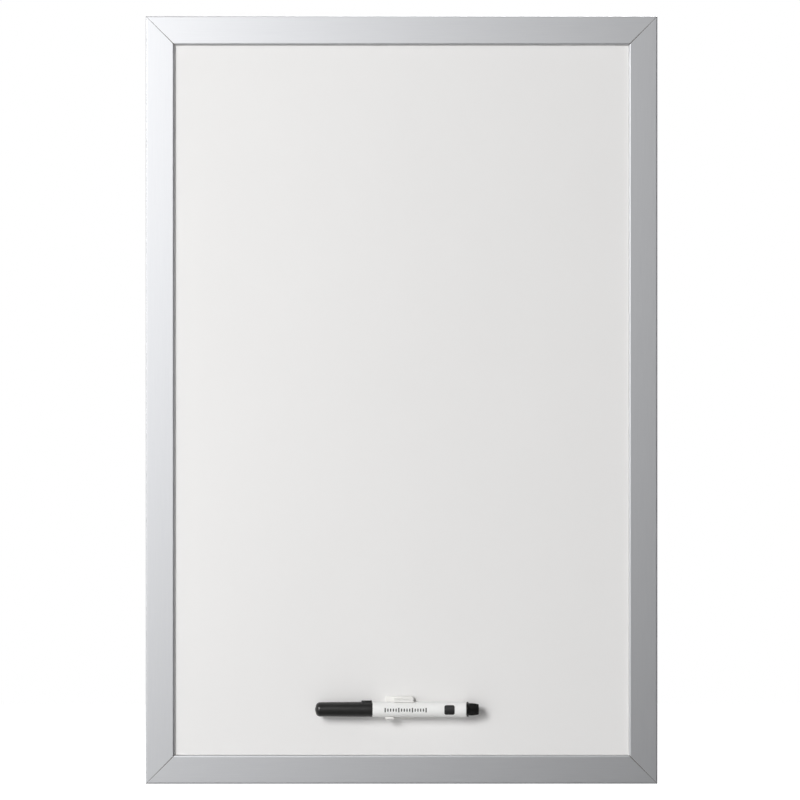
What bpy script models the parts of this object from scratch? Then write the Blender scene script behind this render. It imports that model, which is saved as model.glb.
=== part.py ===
"""Magnetic whiteboard, 400 by 600 mm, with a dry-erase marker held in a magnetic clip.

Metres, +Z up. The front faces -Y and the wall is the plane y = 0. The origin is where a wall hook
holds the board: the middle notch of the upper hanger.
"""

from math import cos, pi, radians, sin, sqrt

import bmesh
import bpy
from mathutils import Matrix, Vector

# Board, seen from the front
BOARD_WIDTH = 0.400
BOARD_HEIGHT = 0.600

# Gaps and counts that all pieces share
SEAT_GAP = 0.0003
OVERRUN = 0.0010
MERGE_DISTANCE = 0.000001
ROUNDING_STEPS = 6
FINE_STEPS = 4
EDGE_STEPS = 2
ROUND_PROFILE_SHARE = 0.5
SMOOTH_ANGLE = radians(32)

# Rails: MDF moulding wrapped in foil, mitred at the corners
RAIL_FACE_WIDTH = 0.0225
REBATE_WIDTH = 0.0080
LIP_THICKNESS = 0.0025
OUTER_ROUNDING = 0.0015
INNER_ROUNDING = 0.0016
BACK_ROUNDING = 0.0006
MITRE_GAP = 0.0003
BACK_RECESS = 0.0044

# Panel that the rebate holds, from front to back
SHEET_THICKNESS = 0.0004
CORE_THICKNESS = 0.0060
BACKING_THICKNESS = 0.0008
PANEL_EDGE_GAP = 0.0005
PANEL_CORNER = 0.0020

# V-nails across the back of each mitre
NAIL_LEG = 0.0045
NAIL_THICKNESS = 0.0005
NAIL_HEIGHT = 0.0080
NAIL_HALF_ANGLE = radians(50)
NAIL_SINK = 0.0002
OUTER_NAIL_SHARE = 0.27
INNER_NAIL_SHARE = 0.55

# Flat steel points that hold the panel in
POINT_WIDTH = 0.0055
POINT_THICKNESS = 0.0005
POINT_BITE = 0.0060
POINT_REACH = 0.0085
POINT_TIP = 0.0025
POINT_CORNER = 0.0012
SHORT_RAIL_POINT_SHARES = (-0.28, 0.28)
LONG_RAIL_POINT_SHARES = (-0.36, 0.0, 0.36)

# Toothed hangers
HANGER_LENGTH = 0.0450
HANGER_HEIGHT = 0.0090
HANGER_THICKNESS = 0.0008
HANGER_RISE = 0.0015
HANGER_BEND = 0.0028
HANGER_CORNER = 0.0018
TOOTH_PITCH = 0.0026
TOOTH_DEPTH = 0.0016
TEETH_EACH_SIDE = 4
HANGER_SCREW_INSET = 0.0036

# Screws of the hangers
SCREW_HEAD_RADIUS = 0.0024
SCREW_HEAD_HEIGHT = 0.0011
SCREW_SHANK_RADIUS = 0.0011
SCREW_SHANK_LENGTH = 0.0100
SCREW_TIP = 0.0025
SCREW_STEPS = 20

# Rubber bumpers on the back of the side rails
BUMPER_RADIUS = 0.0045
BUMPER_HEIGHT = 0.0027
BUMPER_ROUNDING = 0.0006
BUMPER_FROM_CORNER = 0.0400
BUMPER_STEPS = 32

# Clip: a base with a magnet in its back, and two staggered fingers
CLIP_CENTRE_X = -0.0017
CLIP_LENGTH = 0.0226
CLIP_ABOVE_AXIS = 0.0095
CLIP_BELOW_AXIS = 0.0081
CLIP_FLOOR = 0.00095
CLIP_CORNER = 0.0018
CLIP_EDGE_ROUNDING = 0.0005
FINGER_THICKNESS = 0.0019
UPPER_FINGER_WIDTH = 0.0153
LOWER_FINGER_WIDTH = 0.0066
FINGER_END_INSET = 0.0003
FINGER_WRAP = radians(24)
FINGER_ROOT = radians(12)
FINGER_STEPS = 20
MAGNET_RADIUS = 0.0065
MAGNET_THICKNESS = 0.0015
MAGNET_CHAMFER = 0.0003
MAGNET_STEPS = 40

# Marker: x runs along it, from the barrel's open end towards the end plug
MARKER_HEIGHT = 0.0590
BARREL_FROM_CLIP = 0.0209
BARREL_LENGTH = 0.0729
BARREL_RADIUS = 0.0059
BARREL_WALL = 0.0010
BARREL_EDGE = 0.0002
CRADLE_GAP = 0.0003
TURNED_STEPS = 48

# Section that holds the nib
HOLDER_SPIGOT = 0.0090
HOLDER_COLLAR = 0.0090
HOLDER_SHOULDER_STEP = 0.0009
HOLDER_SHOULDER_LENGTH = 0.0012
HOLDER_NOSE_WALL = 0.0005
HOLDER_NOSE_LENGTH = 0.0100
SNAP_BEAD_HEIGHT = 0.00015
SNAP_BEAD_LENGTH = 0.0012
SNAP_BEAD_FROM_BARREL = 0.0050

# Nib and the ink behind it
NIB_RADIUS = 0.0020
NIB_REACH = 0.0052
NIB_POINT_SHARE = 1.5
NIB_IN_RESERVOIR = 0.0050
RESERVOIR_CHAMFER = 0.0004

# Cap
CAP_LENGTH = 0.0446
CAP_WALL = 0.0010
CAP_FIT_GAP = 0.0002
CAP_TAPER = 0.00035
CAP_END_ROUNDING = 0.0027
CAP_END_BULGE = 0.0005
CAP_END_WALL = 0.0014
CAP_MOUTH_ROUNDING = 0.0003
CAP_SEAL_FROM_COLLAR = 0.0018
CAP_SEAL_GAP = 0.00035
LUG_LENGTH = 0.0084
LUG_WIDTH = 0.0036
LUG_HEIGHT = 0.0010
LUG_RAMP = 0.0010
LUG_FROM_MOUTH = 0.0003

# End plug
PLUG_SPIGOT = 0.0060
PLUG_FLANGE_INSET = 0.00005
PLUG_FLANGE_LENGTH = 0.0015
PLUG_SHOULDER = 0.00105
PLUG_TAPER = 0.0007
PLUG_BODY_LENGTH = 0.0080
PLUG_BODY_BULGE = 0.00025
PLUG_TIP_ROUNDING = 0.0007
PLUG_RIB_DEPTH = 0.00018

# Depths behind the face of the rails
SHEET_FRONT = LIP_THICKNESS + SEAT_GAP
CORE_FRONT = SHEET_FRONT + SHEET_THICKNESS + SEAT_GAP
BACKING_FRONT = CORE_FRONT + CORE_THICKNESS + SEAT_GAP
BACKING_REAR = BACKING_FRONT + BACKING_THICKNESS
POINT_FRONT = BACKING_REAR + SEAT_GAP
RAIL_DEPTH = BACKING_REAR + BACK_RECESS

# Places in the world
RAIL_BACK_WIDTH = RAIL_FACE_WIDTH - REBATE_WIDTH
HANGER_TOP_INSET = (RAIL_BACK_WIDTH - HANGER_HEIGHT) / 2
NOTCH_INSET = HANGER_TOP_INSET + HANGER_HEIGHT - TOOTH_DEPTH
FACE_Y = -(BUMPER_HEIGHT + SEAT_GAP + RAIL_DEPTH)
TOP_Z = NOTCH_INSET
BOTTOM_Z = TOP_Z - BOARD_HEIGHT
MIDDLE_Z = (TOP_Z + BOTTOM_Z) / 2
HALF_WIDTH = BOARD_WIDTH / 2
SHEET_Y = FACE_Y + SHEET_FRONT

# Sizes of the clip and the marker that follow from the ones above
CLIP_HEIGHT = CLIP_ABOVE_AXIS + CLIP_BELOW_AXIS
CLIP_BASE_THICKNESS = MAGNET_THICKNESS + SEAT_GAP + CLIP_FLOOR
CLIP_CENTRE_RISE = (CLIP_ABOVE_AXIS - CLIP_BELOW_AXIS) / 2
CRADLE_RADIUS = BARREL_RADIUS + CRADLE_GAP
AXIS_FROM_CLIP_BACK = CLIP_BASE_THICKNESS + CRADLE_RADIUS
BORE_RADIUS = BARREL_RADIUS - BARREL_WALL
SPIGOT_RADIUS = BORE_RADIUS - SEAT_GAP
HOLDER_BORE_RADIUS = NIB_RADIUS + SEAT_GAP
HOLDER_NOSE_RADIUS = HOLDER_BORE_RADIUS + HOLDER_NOSE_WALL
HOLDER_SHOULDER_RADIUS = SPIGOT_RADIUS - HOLDER_SHOULDER_STEP
HOLDER_TIP_X = -(HOLDER_COLLAR + HOLDER_SHOULDER_LENGTH + HOLDER_NOSE_LENGTH)
RESERVOIR_X = HOLDER_SPIGOT + SEAT_GAP
CAP_MOUTH_X = -SEAT_GAP
CAP_END_X = CAP_MOUTH_X - CAP_LENGTH
CAP_BORE_RADIUS = SPIGOT_RADIUS + SNAP_BEAD_HEIGHT + CAP_FIT_GAP
CAP_SEAL_RADIUS = HOLDER_SHOULDER_RADIUS + CAP_SEAL_GAP
CAP_MOUTH_RADIUS = CAP_BORE_RADIUS + CAP_WALL
CAP_END_RADIUS = CAP_MOUTH_RADIUS - CAP_TAPER
PLUG_SPIGOT_X = BARREL_LENGTH - PLUG_SPIGOT
PLUG_FLANGE_X = BARREL_LENGTH + SEAT_GAP
PLUG_FLANGE_RADIUS = BARREL_RADIUS - PLUG_FLANGE_INSET
PLUG_ROOT_RADIUS = PLUG_FLANGE_RADIUS - PLUG_SHOULDER
PLUG_TIP_RADIUS = PLUG_ROOT_RADIUS - PLUG_TAPER

ALONG_X = Vector((1, 0, 0))
ALONG_Y = Vector((0, 1, 0))


def clear_scene():
    for obj in list(bpy.data.objects):
        bpy.data.objects.remove(obj, do_unlink=True)


def linear(channel):
    """The linear value of one sRGB channel from 0 to 255."""
    share = channel / 255
    return share / 12.92 if share <= 0.04045 else ((share + 0.055) / 1.055) ** 2.4


def material(name, red, green, blue, roughness, metallic=0.0):
    made = bpy.data.materials.new(name)
    made.use_nodes = True
    shader = made.node_tree.nodes["Principled BSDF"]
    colour = (linear(red), linear(green), linear(blue), 1.0)
    shader.inputs["Base Color"].default_value = colour
    shader.inputs["Roughness"].default_value = roughness
    shader.inputs["Metallic"].default_value = metallic
    made.diffuse_color = colour
    return made


def arc(centre, radius, start, end, steps):
    """Points on a circle from one angle to another, both ends included."""
    points = []
    for step in range(steps + 1):
        angle = start + (end - start) * step / steps
        points.append((centre[0] + radius * cos(angle), centre[1] + radius * sin(angle)))
    return points


def rounded_rectangle(width, height, radius, steps=FINE_STEPS):
    """Outline of a rectangle round the origin, with its corners rounded."""
    across, up = width / 2 - radius, height / 2 - radius
    centres = ((across, up), (-across, up), (-across, -up), (across, -up))
    outline = []
    for quarter, centre in enumerate(centres):
        start = quarter * pi / 2
        outline += arc(centre, radius, start, start + pi / 2, steps)
    return outline


def extruded(outline, depth):
    """A body with this outline in X and Z, from y = 0 back to the depth."""
    shape = bmesh.new()
    front = shape.faces.new([shape.verts.new((x, 0, z)) for x, z in outline])
    swept = bmesh.ops.extrude_face_region(shape, geom=[front])
    rear = [item for item in swept["geom"] if isinstance(item, bmesh.types.BMVert)]
    bmesh.ops.translate(shape, verts=rear, vec=(0, depth, 0))
    bmesh.ops.recalc_face_normals(shape, faces=shape.faces)
    return shape


def turned(profile, axis, steps, closed=False):
    """A body of revolution round an axis, from its profile's points (place along it, radius)."""
    shape = bmesh.new()
    points = [shape.verts.new(axis * along + Vector((0, 0, radius))) for along, radius in profile]
    for first, second in zip(points, points[1:]):
        shape.edges.new((first, second))
    if closed:
        shape.edges.new((points[-1], points[0]))
    outline = shape.verts[:] + shape.edges[:]
    bmesh.ops.spin(shape, geom=outline, axis=axis, angle=2 * pi, steps=steps, use_merge=True)
    bmesh.ops.remove_doubles(shape, verts=shape.verts, dist=MERGE_DISTANCE)
    bmesh.ops.recalc_face_normals(shape, faces=shape.faces)
    return shape


def together(shapes):
    """One mesh that holds several separate bodies, for a piece's cutters."""
    whole = bmesh.new()
    for shape in shapes:
        loose = bpy.data.meshes.new("loose")
        shape.to_mesh(loose)
        whole.from_mesh(loose)
        bpy.data.meshes.remove(loose)
        shape.free()
    return whole


def moved(shape, matrix):
    bmesh.ops.transform(shape, matrix=matrix, verts=shape.verts)
    return shape


def smooth_mesh(name, shape):
    """A mesh from a body, shaded smooth where its faces meet at a low angle."""
    mesh = bpy.data.meshes.new(name)
    shape.to_mesh(mesh)
    shape.free()
    mesh.shade_smooth()
    mesh.set_sharp_from_angle(angle=SMOOTH_ANGLE)
    return mesh


def mesh_of(name, shape, finish):
    mesh = smooth_mesh(name, shape)
    mesh.materials.append(finish)
    return mesh


def placed(name, mesh, location=(0, 0, 0), turn=0.0, parent=None):
    """An object at a location, turned round Y, under a parent or in the world."""
    obj = bpy.data.objects.new(name, mesh)
    obj.location = location
    obj.rotation_euler = (0, turn, 0)
    obj.parent = parent
    bpy.context.collection.objects.link(obj)
    return obj


def helper(name, shape, parent):
    """A cutter or a shape to be joined on, which isn't a piece of the object itself."""
    obj = placed(name, smooth_mesh(name, shape), parent=parent)
    obj.hide_render = True
    obj.display_type = "WIRE"
    return obj


def combine(obj, operation, other):
    step = obj.modifiers.new(other.name, "BOOLEAN")
    step.operation = operation
    step.object = other


def rail_section():
    """Section of the moulding: inwards from its outer edge, and back from its face."""
    wide, deep = RAIL_FACE_WIDTH, RAIL_DEPTH
    outer, inner, back = OUTER_ROUNDING, INNER_ROUNDING, BACK_ROUNDING
    section = arc((outer, outer), outer, pi, 1.5 * pi, ROUNDING_STEPS)
    section += arc((wide - inner, inner), inner, 1.5 * pi, 2 * pi, ROUNDING_STEPS)
    section += [(wide, LIP_THICKNESS), (RAIL_BACK_WIDTH, LIP_THICKNESS)]
    section += [(RAIL_BACK_WIDTH, deep)]
    section += arc((back, deep - back), back, pi / 2, pi, FINE_STEPS)
    return section


def rail_shape(length):
    """The moulding with both ends cut at 45 degrees, its outer edge along X."""
    shape = bmesh.new()
    trim = MITRE_GAP / sqrt(2)
    rings = []
    for side in (-1, 1):
        ring = []
        for inwards, back in rail_section():
            reach = side * (length / 2 - inwards - trim)
            ring.append(shape.verts.new((reach, back, -inwards)))
        rings.append(ring)
        shape.faces.new(ring)
    edges = [edge for edge in shape.edges if edge.verts[0].co.x * edge.verts[1].co.x > 0]
    bmesh.ops.bridge_loops(shape, edges=edges)
    bmesh.ops.recalc_face_normals(shape, faces=shape.faces)
    return shape


def nail_outline(gap):
    """The V of a nail: its bend at the origin, its legs towards +X, with a gap all round."""
    half = NAIL_THICKNESS / 2 + gap
    leg = NAIL_LEG + gap
    along = Vector((cos(NAIL_HALF_ANGLE), sin(NAIL_HALF_ANGLE)))
    across = Vector((-along.y, along.x)) * half
    bend = half / sin(NAIL_HALF_ANGLE)
    outer_end, inner_end = along * leg + across, along * leg - across
    upper = [(-bend, 0), tuple(outer_end), tuple(inner_end), (bend, 0)]
    lower = [(x, -z) for x, z in (inner_end, outer_end)]
    return upper + lower


def nail_places():
    """How far along the mitre each nail lies, from the board's outer corner."""
    mitre = RAIL_BACK_WIDTH * sqrt(2)
    return {"outer": mitre * OUTER_NAIL_SHARE, "inner": mitre * INNER_NAIL_SHARE}


def nail_slots(length):
    """Cutters for the nails at both ends of a rail, in the rail's own frame."""
    front = RAIL_DEPTH - NAIL_SINK - NAIL_HEIGHT - SEAT_GAP
    slots = []
    for side, turn in ((-1, radians(45)), (1, radians(135))):
        corner = Matrix.Translation((side * length / 2, front, 0)) @ Matrix.Rotation(turn, 4, "Y")
        for place in nail_places().values():
            slot = extruded(nail_outline(SEAT_GAP), RAIL_DEPTH - front + OVERRUN)
            slots.append(moved(slot, corner @ Matrix.Translation((place, 0, 0))))
    return slots


def point_outline(gap):
    """A retaining point: its tip goes up into the rail, and z = 0 is the wall of the rebate."""
    half = POINT_WIDTH / 2 + gap
    top = POINT_BITE + gap
    corner = POINT_CORNER
    outline = [(-half, -POINT_REACH + corner), (-half + corner, -POINT_REACH)]
    outline += [(half - corner, -POINT_REACH), (half, -POINT_REACH + corner)]
    outline += [(half, top - POINT_TIP), (0, top), (-half, top - POINT_TIP)]
    return outline


def point_slots(length, shares):
    """Cutters for the retaining points along a rail, in the rail's own frame."""
    thick = POINT_THICKNESS + 2 * SEAT_GAP
    slots = []
    for share in shares:
        slot = extruded(point_outline(SEAT_GAP), thick)
        place = (share * length, POINT_FRONT - SEAT_GAP, -RAIL_BACK_WIDTH)
        slots.append(moved(slot, Matrix.Translation(place)))
    return slots


def screw_places():
    """The two screws of a hanger, along X, and how far below the rail's outer edge they lie."""
    across = HANGER_LENGTH / 2 - HANGER_SCREW_INSET
    below = RAIL_BACK_WIDTH / 2
    return {"left": (-across, below), "right": (across, below)}


def screw_bores():
    """Cutters for the screws in the rail that carries a hanger, in the rail's own frame."""
    radius = SCREW_SHANK_RADIUS + SEAT_GAP
    plate = 2 * SEAT_GAP + HANGER_THICKNESS
    start = RAIL_DEPTH + plate - SCREW_SHANK_LENGTH - SEAT_GAP
    end = RAIL_DEPTH + OVERRUN
    bores = []
    for x, below in screw_places().values():
        profile = [(start, 0), (start, radius), (end, radius), (end, 0)]
        bore = turned(profile, ALONG_Y, SCREW_STEPS)
        bores.append(moved(bore, Matrix.Translation((x, 0, -below))))
    return bores


def make_rail(name, length, place, turn, shares, hanger, finish):
    rail = placed(name, mesh_of(name, rail_shape(length), finish), place, turn)
    cutters = nail_slots(length) + point_slots(length, shares)
    if hanger:
        cutters += screw_bores()
    combine(rail, "DIFFERENCE", helper(name + "_cutters", together(cutters), rail))
    return rail


def make_points(side, length, shares, rail, mesh):
    for number, share in enumerate(shares, 1):
        place = (share * length, POINT_FRONT, -RAIL_BACK_WIDTH)
        placed(f"retaining_point_{side}_{number}", mesh, place, parent=rail)


def make_frame(foil, steel):
    """The four rails, and the points that each one carries."""
    point = mesh_of("retaining_point", extruded(point_outline(0), POINT_THICKNESS), steel)
    short, long = SHORT_RAIL_POINT_SHARES, LONG_RAIL_POINT_SHARES
    rows = (
        ("top", BOARD_WIDTH, (0, FACE_Y, TOP_Z), 0, short, True),
        ("right", BOARD_HEIGHT, (HALF_WIDTH, FACE_Y, MIDDLE_Z), pi / 2, long, False),
        ("bottom", BOARD_WIDTH, (0, FACE_Y, BOTTOM_Z), pi, short, False),
        ("left", BOARD_HEIGHT, (-HALF_WIDTH, FACE_Y, MIDDLE_Z), -pi / 2, long, True),
    )
    rails = {}
    for side, length, place, turn, shares, hanger in rows:
        rail = make_rail("rail_" + side, length, place, turn, shares, hanger, foil)
        make_points(side, length, shares, rail, point)
        rails[side] = rail
    return rails


def make_nails(steel):
    """Two V-nails across each mitre, sunk a little into the back of the rails."""
    mesh = mesh_of("v_nail", extruded(nail_outline(0), NAIL_HEIGHT), steel)
    front = FACE_Y + RAIL_DEPTH - NAIL_SINK - NAIL_HEIGHT
    corners = (
        ("top_left", -HALF_WIDTH, TOP_Z, 1),
        ("top_right", HALF_WIDTH, TOP_Z, 3),
        ("bottom_right", HALF_WIDTH, BOTTOM_Z, 5),
        ("bottom_left", -HALF_WIDTH, BOTTOM_Z, 7),
    )
    for corner, x, z, eighths in corners:
        turn = eighths * pi / 4
        for row, place in nail_places().items():
            spot = (x + place * cos(turn), front, z - place * sin(turn))
            placed(f"v_nail_{corner}_{row}", mesh, spot, turn)


def make_panel_layer(name, front, thickness, finish):
    """One layer of the panel, a little smaller than the rebate all round."""
    margin = 2 * (RAIL_BACK_WIDTH + PANEL_EDGE_GAP)
    outline = rounded_rectangle(BOARD_WIDTH - margin, BOARD_HEIGHT - margin, PANEL_CORNER)
    mesh = mesh_of(name, extruded(outline, thickness), finish)
    placed(name, mesh, (0, FACE_Y + front, MIDDLE_Z))


def hanger_stations():
    """The hanger's outline along X: (x, lower edge, upper edge, rise off the rail)."""
    top = HANGER_HEIGHT - TOOTH_DEPTH
    tip = -TOOTH_DEPTH
    toothed = (TEETH_EACH_SIDE + 0.5) * TOOTH_PITCH
    tab = toothed + HANGER_BEND
    end = HANGER_LENGTH / 2
    corner = HANGER_CORNER
    right = []
    for half_pitch in range(2 * TEETH_EACH_SIDE + 2):
        low = 0 if half_pitch % 2 == 0 else tip
        right.append((half_pitch * TOOTH_PITCH / 2, low, top, HANGER_RISE))
    right.append((tab, tip, top, 0))
    for x, rise in arc((end - corner, 0), corner, pi / 2, 0, FINE_STEPS):
        right.append((x, tip + corner - rise, top - corner + rise, 0))
    left = [(-x, low, high, rise) for x, low, high, rise in reversed(right[1:])]
    return left + right


def hanger_shape():
    """A strip whose lower edge has teeth in the middle, where it stands off the rail."""
    shape = bmesh.new()
    rings = []
    for x, low, high, rise in hanger_stations():
        near, far = rise, rise + HANGER_THICKNESS
        corners = ((near, low), (near, high), (far, high), (far, low))
        rings.append([shape.verts.new((x, y, z)) for y, z in corners])
    for first, second in zip(rings, rings[1:]):
        for corner in range(4):
            after = (corner + 1) % 4
            shape.faces.new((first[corner], first[after], second[after], second[corner]))
    shape.faces.new(rings[0])
    shape.faces.new(rings[-1])
    bmesh.ops.recalc_face_normals(shape, faces=shape.faces)
    return shape


def hanger_holes():
    """Cutters for the screws through a hanger, in the hanger's own frame."""
    radius = SCREW_SHANK_RADIUS + SEAT_GAP
    start, end = -OVERRUN, HANGER_THICKNESS + OVERRUN
    profile = [(start, 0), (start, radius), (end, radius), (end, 0)]
    holes = []
    for x, below in screw_places().values():
        hole = turned(profile, ALONG_Y, SCREW_STEPS)
        holes.append(moved(hole, Matrix.Translation((x, 0, NOTCH_INSET - below))))
    return holes


def screw_shape():
    """A pan-headed screw along Y, with the underside of its head at y = 0."""
    shank, head = SCREW_SHANK_RADIUS, SCREW_HEAD_RADIUS
    tip = -SCREW_SHANK_LENGTH
    profile = [(tip, 0), (tip + SCREW_TIP, shank), (0, shank), (0, head)]
    for step in range(1, ROUNDING_STEPS + 1):
        angle = step * pi / 2 / ROUNDING_STEPS
        profile.append((SCREW_HEAD_HEIGHT * sin(angle), head * cos(angle)))
    return turned(profile, ALONG_Y, SCREW_STEPS)


def make_hanger(way, rail, plate, screw):
    """One hanger on the back of a rail, with its two screws."""
    name = "hanger_" + way
    seat = RAIL_DEPTH + SEAT_GAP
    hanger = placed(name, plate, (0, seat, -NOTCH_INSET), parent=rail)
    combine(hanger, "DIFFERENCE", helper(name + "_cutters", together(hanger_holes()), hanger))
    head = seat + HANGER_THICKNESS + SEAT_GAP
    for side, (x, below) in screw_places().items():
        placed(f"{name}_screw_{side}", screw, (x, head, -below), parent=rail)


def make_hangers(rails, steel, screw_steel):
    plate = mesh_of("hanger", hanger_shape(), steel)
    screw = mesh_of("hanger_screw", screw_shape(), screw_steel)
    make_hanger("portrait", rails["top"], plate, screw)
    make_hanger("landscape", rails["left"], plate, screw)


def make_bumpers(rubber):
    """Four bumpers on the side rails, whose flat ends rest on the wall at y = 0."""
    high, radius, rounding = BUMPER_HEIGHT, BUMPER_RADIUS, BUMPER_ROUNDING
    profile = [(-high, 0), (-high, radius)]
    profile += arc((-rounding, radius - rounding), rounding, pi / 2, 0, FINE_STEPS)
    profile.append((0, 0))
    mesh = mesh_of("bumper", turned(profile, ALONG_Y, BUMPER_STEPS), rubber)
    across = HALF_WIDTH - RAIL_BACK_WIDTH / 2
    heights = {"top": TOP_Z - BUMPER_FROM_CORNER, "bottom": BOTTOM_Z + BUMPER_FROM_CORNER}
    for row, z in heights.items():
        placed(f"bumper_{row}_left", mesh, (-across, 0, z))
        placed(f"bumper_{row}_right", mesh, (across, 0, z))


def make_magnet(metal):
    """The disc magnet, whose axis is the one that the clip turns about."""
    thick, radius, chamfer = MAGNET_THICKNESS, MAGNET_RADIUS, MAGNET_CHAMFER
    profile = [(-thick, 0), (-thick, radius - chamfer), (-thick + chamfer, radius)]
    profile += [(-chamfer, radius), (0, radius - chamfer), (0, 0)]
    mesh = mesh_of("clip_magnet", turned(profile, ALONG_Y, MAGNET_STEPS), metal)
    height = BOTTOM_Z + MARKER_HEIGHT + CLIP_CENTRE_RISE
    return placed("clip_magnet", mesh, (CLIP_CENTRE_X, SHEET_Y - SEAT_GAP, height))


def clip_base_shape():
    """The clip's base plate, with the rim of its front softened."""
    outline = rounded_rectangle(CLIP_LENGTH, CLIP_HEIGHT, CLIP_CORNER)
    shape = extruded(outline, -CLIP_BASE_THICKNESS)
    middle = -CLIP_BASE_THICKNESS / 2
    rim = [edge for edge in shape.edges if max(vert.co.y for vert in edge.verts) < middle]
    bmesh.ops.bevel(shape, geom=rim, offset=CLIP_EDGE_ROUNDING, segments=EDGE_STEPS,
                    profile=ROUND_PROFILE_SHARE, affect="EDGES")
    return shape


def finger_outline(upwards):
    """Section of a finger round the marker's axis, as (back, up) from that axis."""
    inner, outer = CRADLE_RADIUS, CRADLE_RADIUS + FINGER_THICKNESS
    middle = (inner + outer) / 2
    tip = pi / 2 + FINGER_WRAP
    outline = arc((0, 0), inner, FINGER_ROOT, tip, FINGER_STEPS)
    end = (middle * cos(tip), middle * sin(tip))
    outline += arc(end, FINGER_THICKNESS / 2, tip + pi, tip, ROUNDING_STEPS)[1:-1]
    outline += arc((0, 0), outer, tip, FINGER_ROOT, FINGER_STEPS)
    return [(back, upwards * up) for back, up in outline]


def finger_shape(upwards, left, right):
    """A finger that wraps the barrel from the base's front, between two places along X."""
    shape = bmesh.new()
    axis_y, axis_z = -AXIS_FROM_CLIP_BACK, -CLIP_CENTRE_RISE
    verts = []
    for back, up in finger_outline(upwards):
        verts.append(shape.verts.new((left, axis_y + back, axis_z + up)))
    end = shape.faces.new(verts)
    swept = bmesh.ops.extrude_face_region(shape, geom=[end])
    far = [item for item in swept["geom"] if isinstance(item, bmesh.types.BMVert)]
    bmesh.ops.translate(shape, verts=far, vec=(right - left, 0, 0))
    bmesh.ops.recalc_face_normals(shape, faces=shape.faces)
    return shape


def magnet_recess():
    """Cutter for the magnet's seat, from the back of the base."""
    deep, radius = MAGNET_THICKNESS + SEAT_GAP, MAGNET_RADIUS + SEAT_GAP
    profile = [(-deep, 0), (-deep, radius), (OVERRUN, radius), (OVERRUN, 0)]
    return turned(profile, ALONG_Y, MAGNET_STEPS)


def make_clip(magnet, plastic):
    """The cradle: base plate, staggered fingers, and a seat for the magnet."""
    clip = placed("pen_clip", mesh_of("pen_clip", clip_base_shape(), plastic), parent=magnet)
    end = CLIP_LENGTH / 2 - FINGER_END_INSET
    upper = finger_shape(1, end - UPPER_FINGER_WIDTH, end)
    lower = finger_shape(-1, -end, -end + LOWER_FINGER_WIDTH)
    combine(clip, "UNION", helper("upper_finger", upper, clip))
    combine(clip, "UNION", helper("lower_finger", lower, clip))
    combine(clip, "DIFFERENCE", helper("magnet_recess", magnet_recess(), clip))
    return clip


def make_barrel(clip, plastic):
    """The marker's tube. Its open end is at x = 0, and the cap's mouth meets it there."""
    outer, bore, edge, length = BARREL_RADIUS, BORE_RADIUS, BARREL_EDGE, BARREL_LENGTH
    profile = [(0, bore), (0, outer - edge), (edge, outer), (length - edge, outer)]
    profile += [(length, outer - edge), (length, bore)]
    shape = turned(profile, ALONG_X, TURNED_STEPS, closed=True)
    place = (-BARREL_FROM_CLIP, -AXIS_FROM_CLIP_BACK, -CLIP_CENTRE_RISE)
    return placed("marker_barrel", mesh_of("marker_barrel", shape, plastic), place, parent=clip)


def make_holder(barrel, plastic):
    """The section that holds the nib: a spigot in the barrel, a collar under the cap, a nose."""
    bore, collar = HOLDER_BORE_RADIUS, SPIGOT_RADIUS
    shoulder_x = -HOLDER_COLLAR
    nose_x = shoulder_x - HOLDER_SHOULDER_LENGTH
    bead_x, bead = -SNAP_BEAD_FROM_BARREL, collar + SNAP_BEAD_HEIGHT
    half_bead = SNAP_BEAD_LENGTH / 2
    profile = [(HOLDER_SPIGOT, bore), (HOLDER_SPIGOT, collar), (bead_x + half_bead, collar)]
    profile += [(bead_x, bead), (bead_x - half_bead, collar), (shoulder_x, collar)]
    profile += [(nose_x, HOLDER_SHOULDER_RADIUS), (HOLDER_TIP_X, HOLDER_NOSE_RADIUS)]
    profile += [(HOLDER_TIP_X, bore)]
    shape = turned(profile, ALONG_X, TURNED_STEPS, closed=True)
    placed("nib_holder", mesh_of("nib_holder", shape, plastic), parent=barrel)


def make_nib(barrel, felt):
    """The bullet nib, from its round tip back into the end of the reservoir."""
    radius = NIB_RADIUS
    tip_x = HOLDER_TIP_X - NIB_REACH
    point_length = NIB_POINT_SHARE * radius
    profile = []
    for step in range(ROUNDING_STEPS + 1):
        angle = step * pi / 2 / ROUNDING_STEPS
        profile.append((tip_x + point_length * (1 - cos(angle)), radius * sin(angle)))
    rear = RESERVOIR_X + NIB_IN_RESERVOIR - SEAT_GAP
    profile += [(rear, radius), (rear, 0)]
    shape = turned(profile, ALONG_X, TURNED_STEPS)
    placed("marker_nib", mesh_of("marker_nib", shape, felt), parent=barrel)


def make_reservoir(barrel, fibre):
    """The ink rod, with a hole in its front end that takes the nib."""
    front, rear = RESERVOIR_X, PLUG_SPIGOT_X - SEAT_GAP
    outer, hole, edge = SPIGOT_RADIUS, HOLDER_BORE_RADIUS, RESERVOIR_CHAMFER
    profile = [(front + NIB_IN_RESERVOIR, 0), (front + NIB_IN_RESERVOIR, hole), (front, hole)]
    profile += [(front, outer - edge), (front + edge, outer), (rear - edge, outer)]
    profile += [(rear, outer - edge), (rear, 0)]
    shape = turned(profile, ALONG_X, TURNED_STEPS)
    placed("ink_reservoir", mesh_of("ink_reservoir", shape, fibre), parent=barrel)


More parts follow.
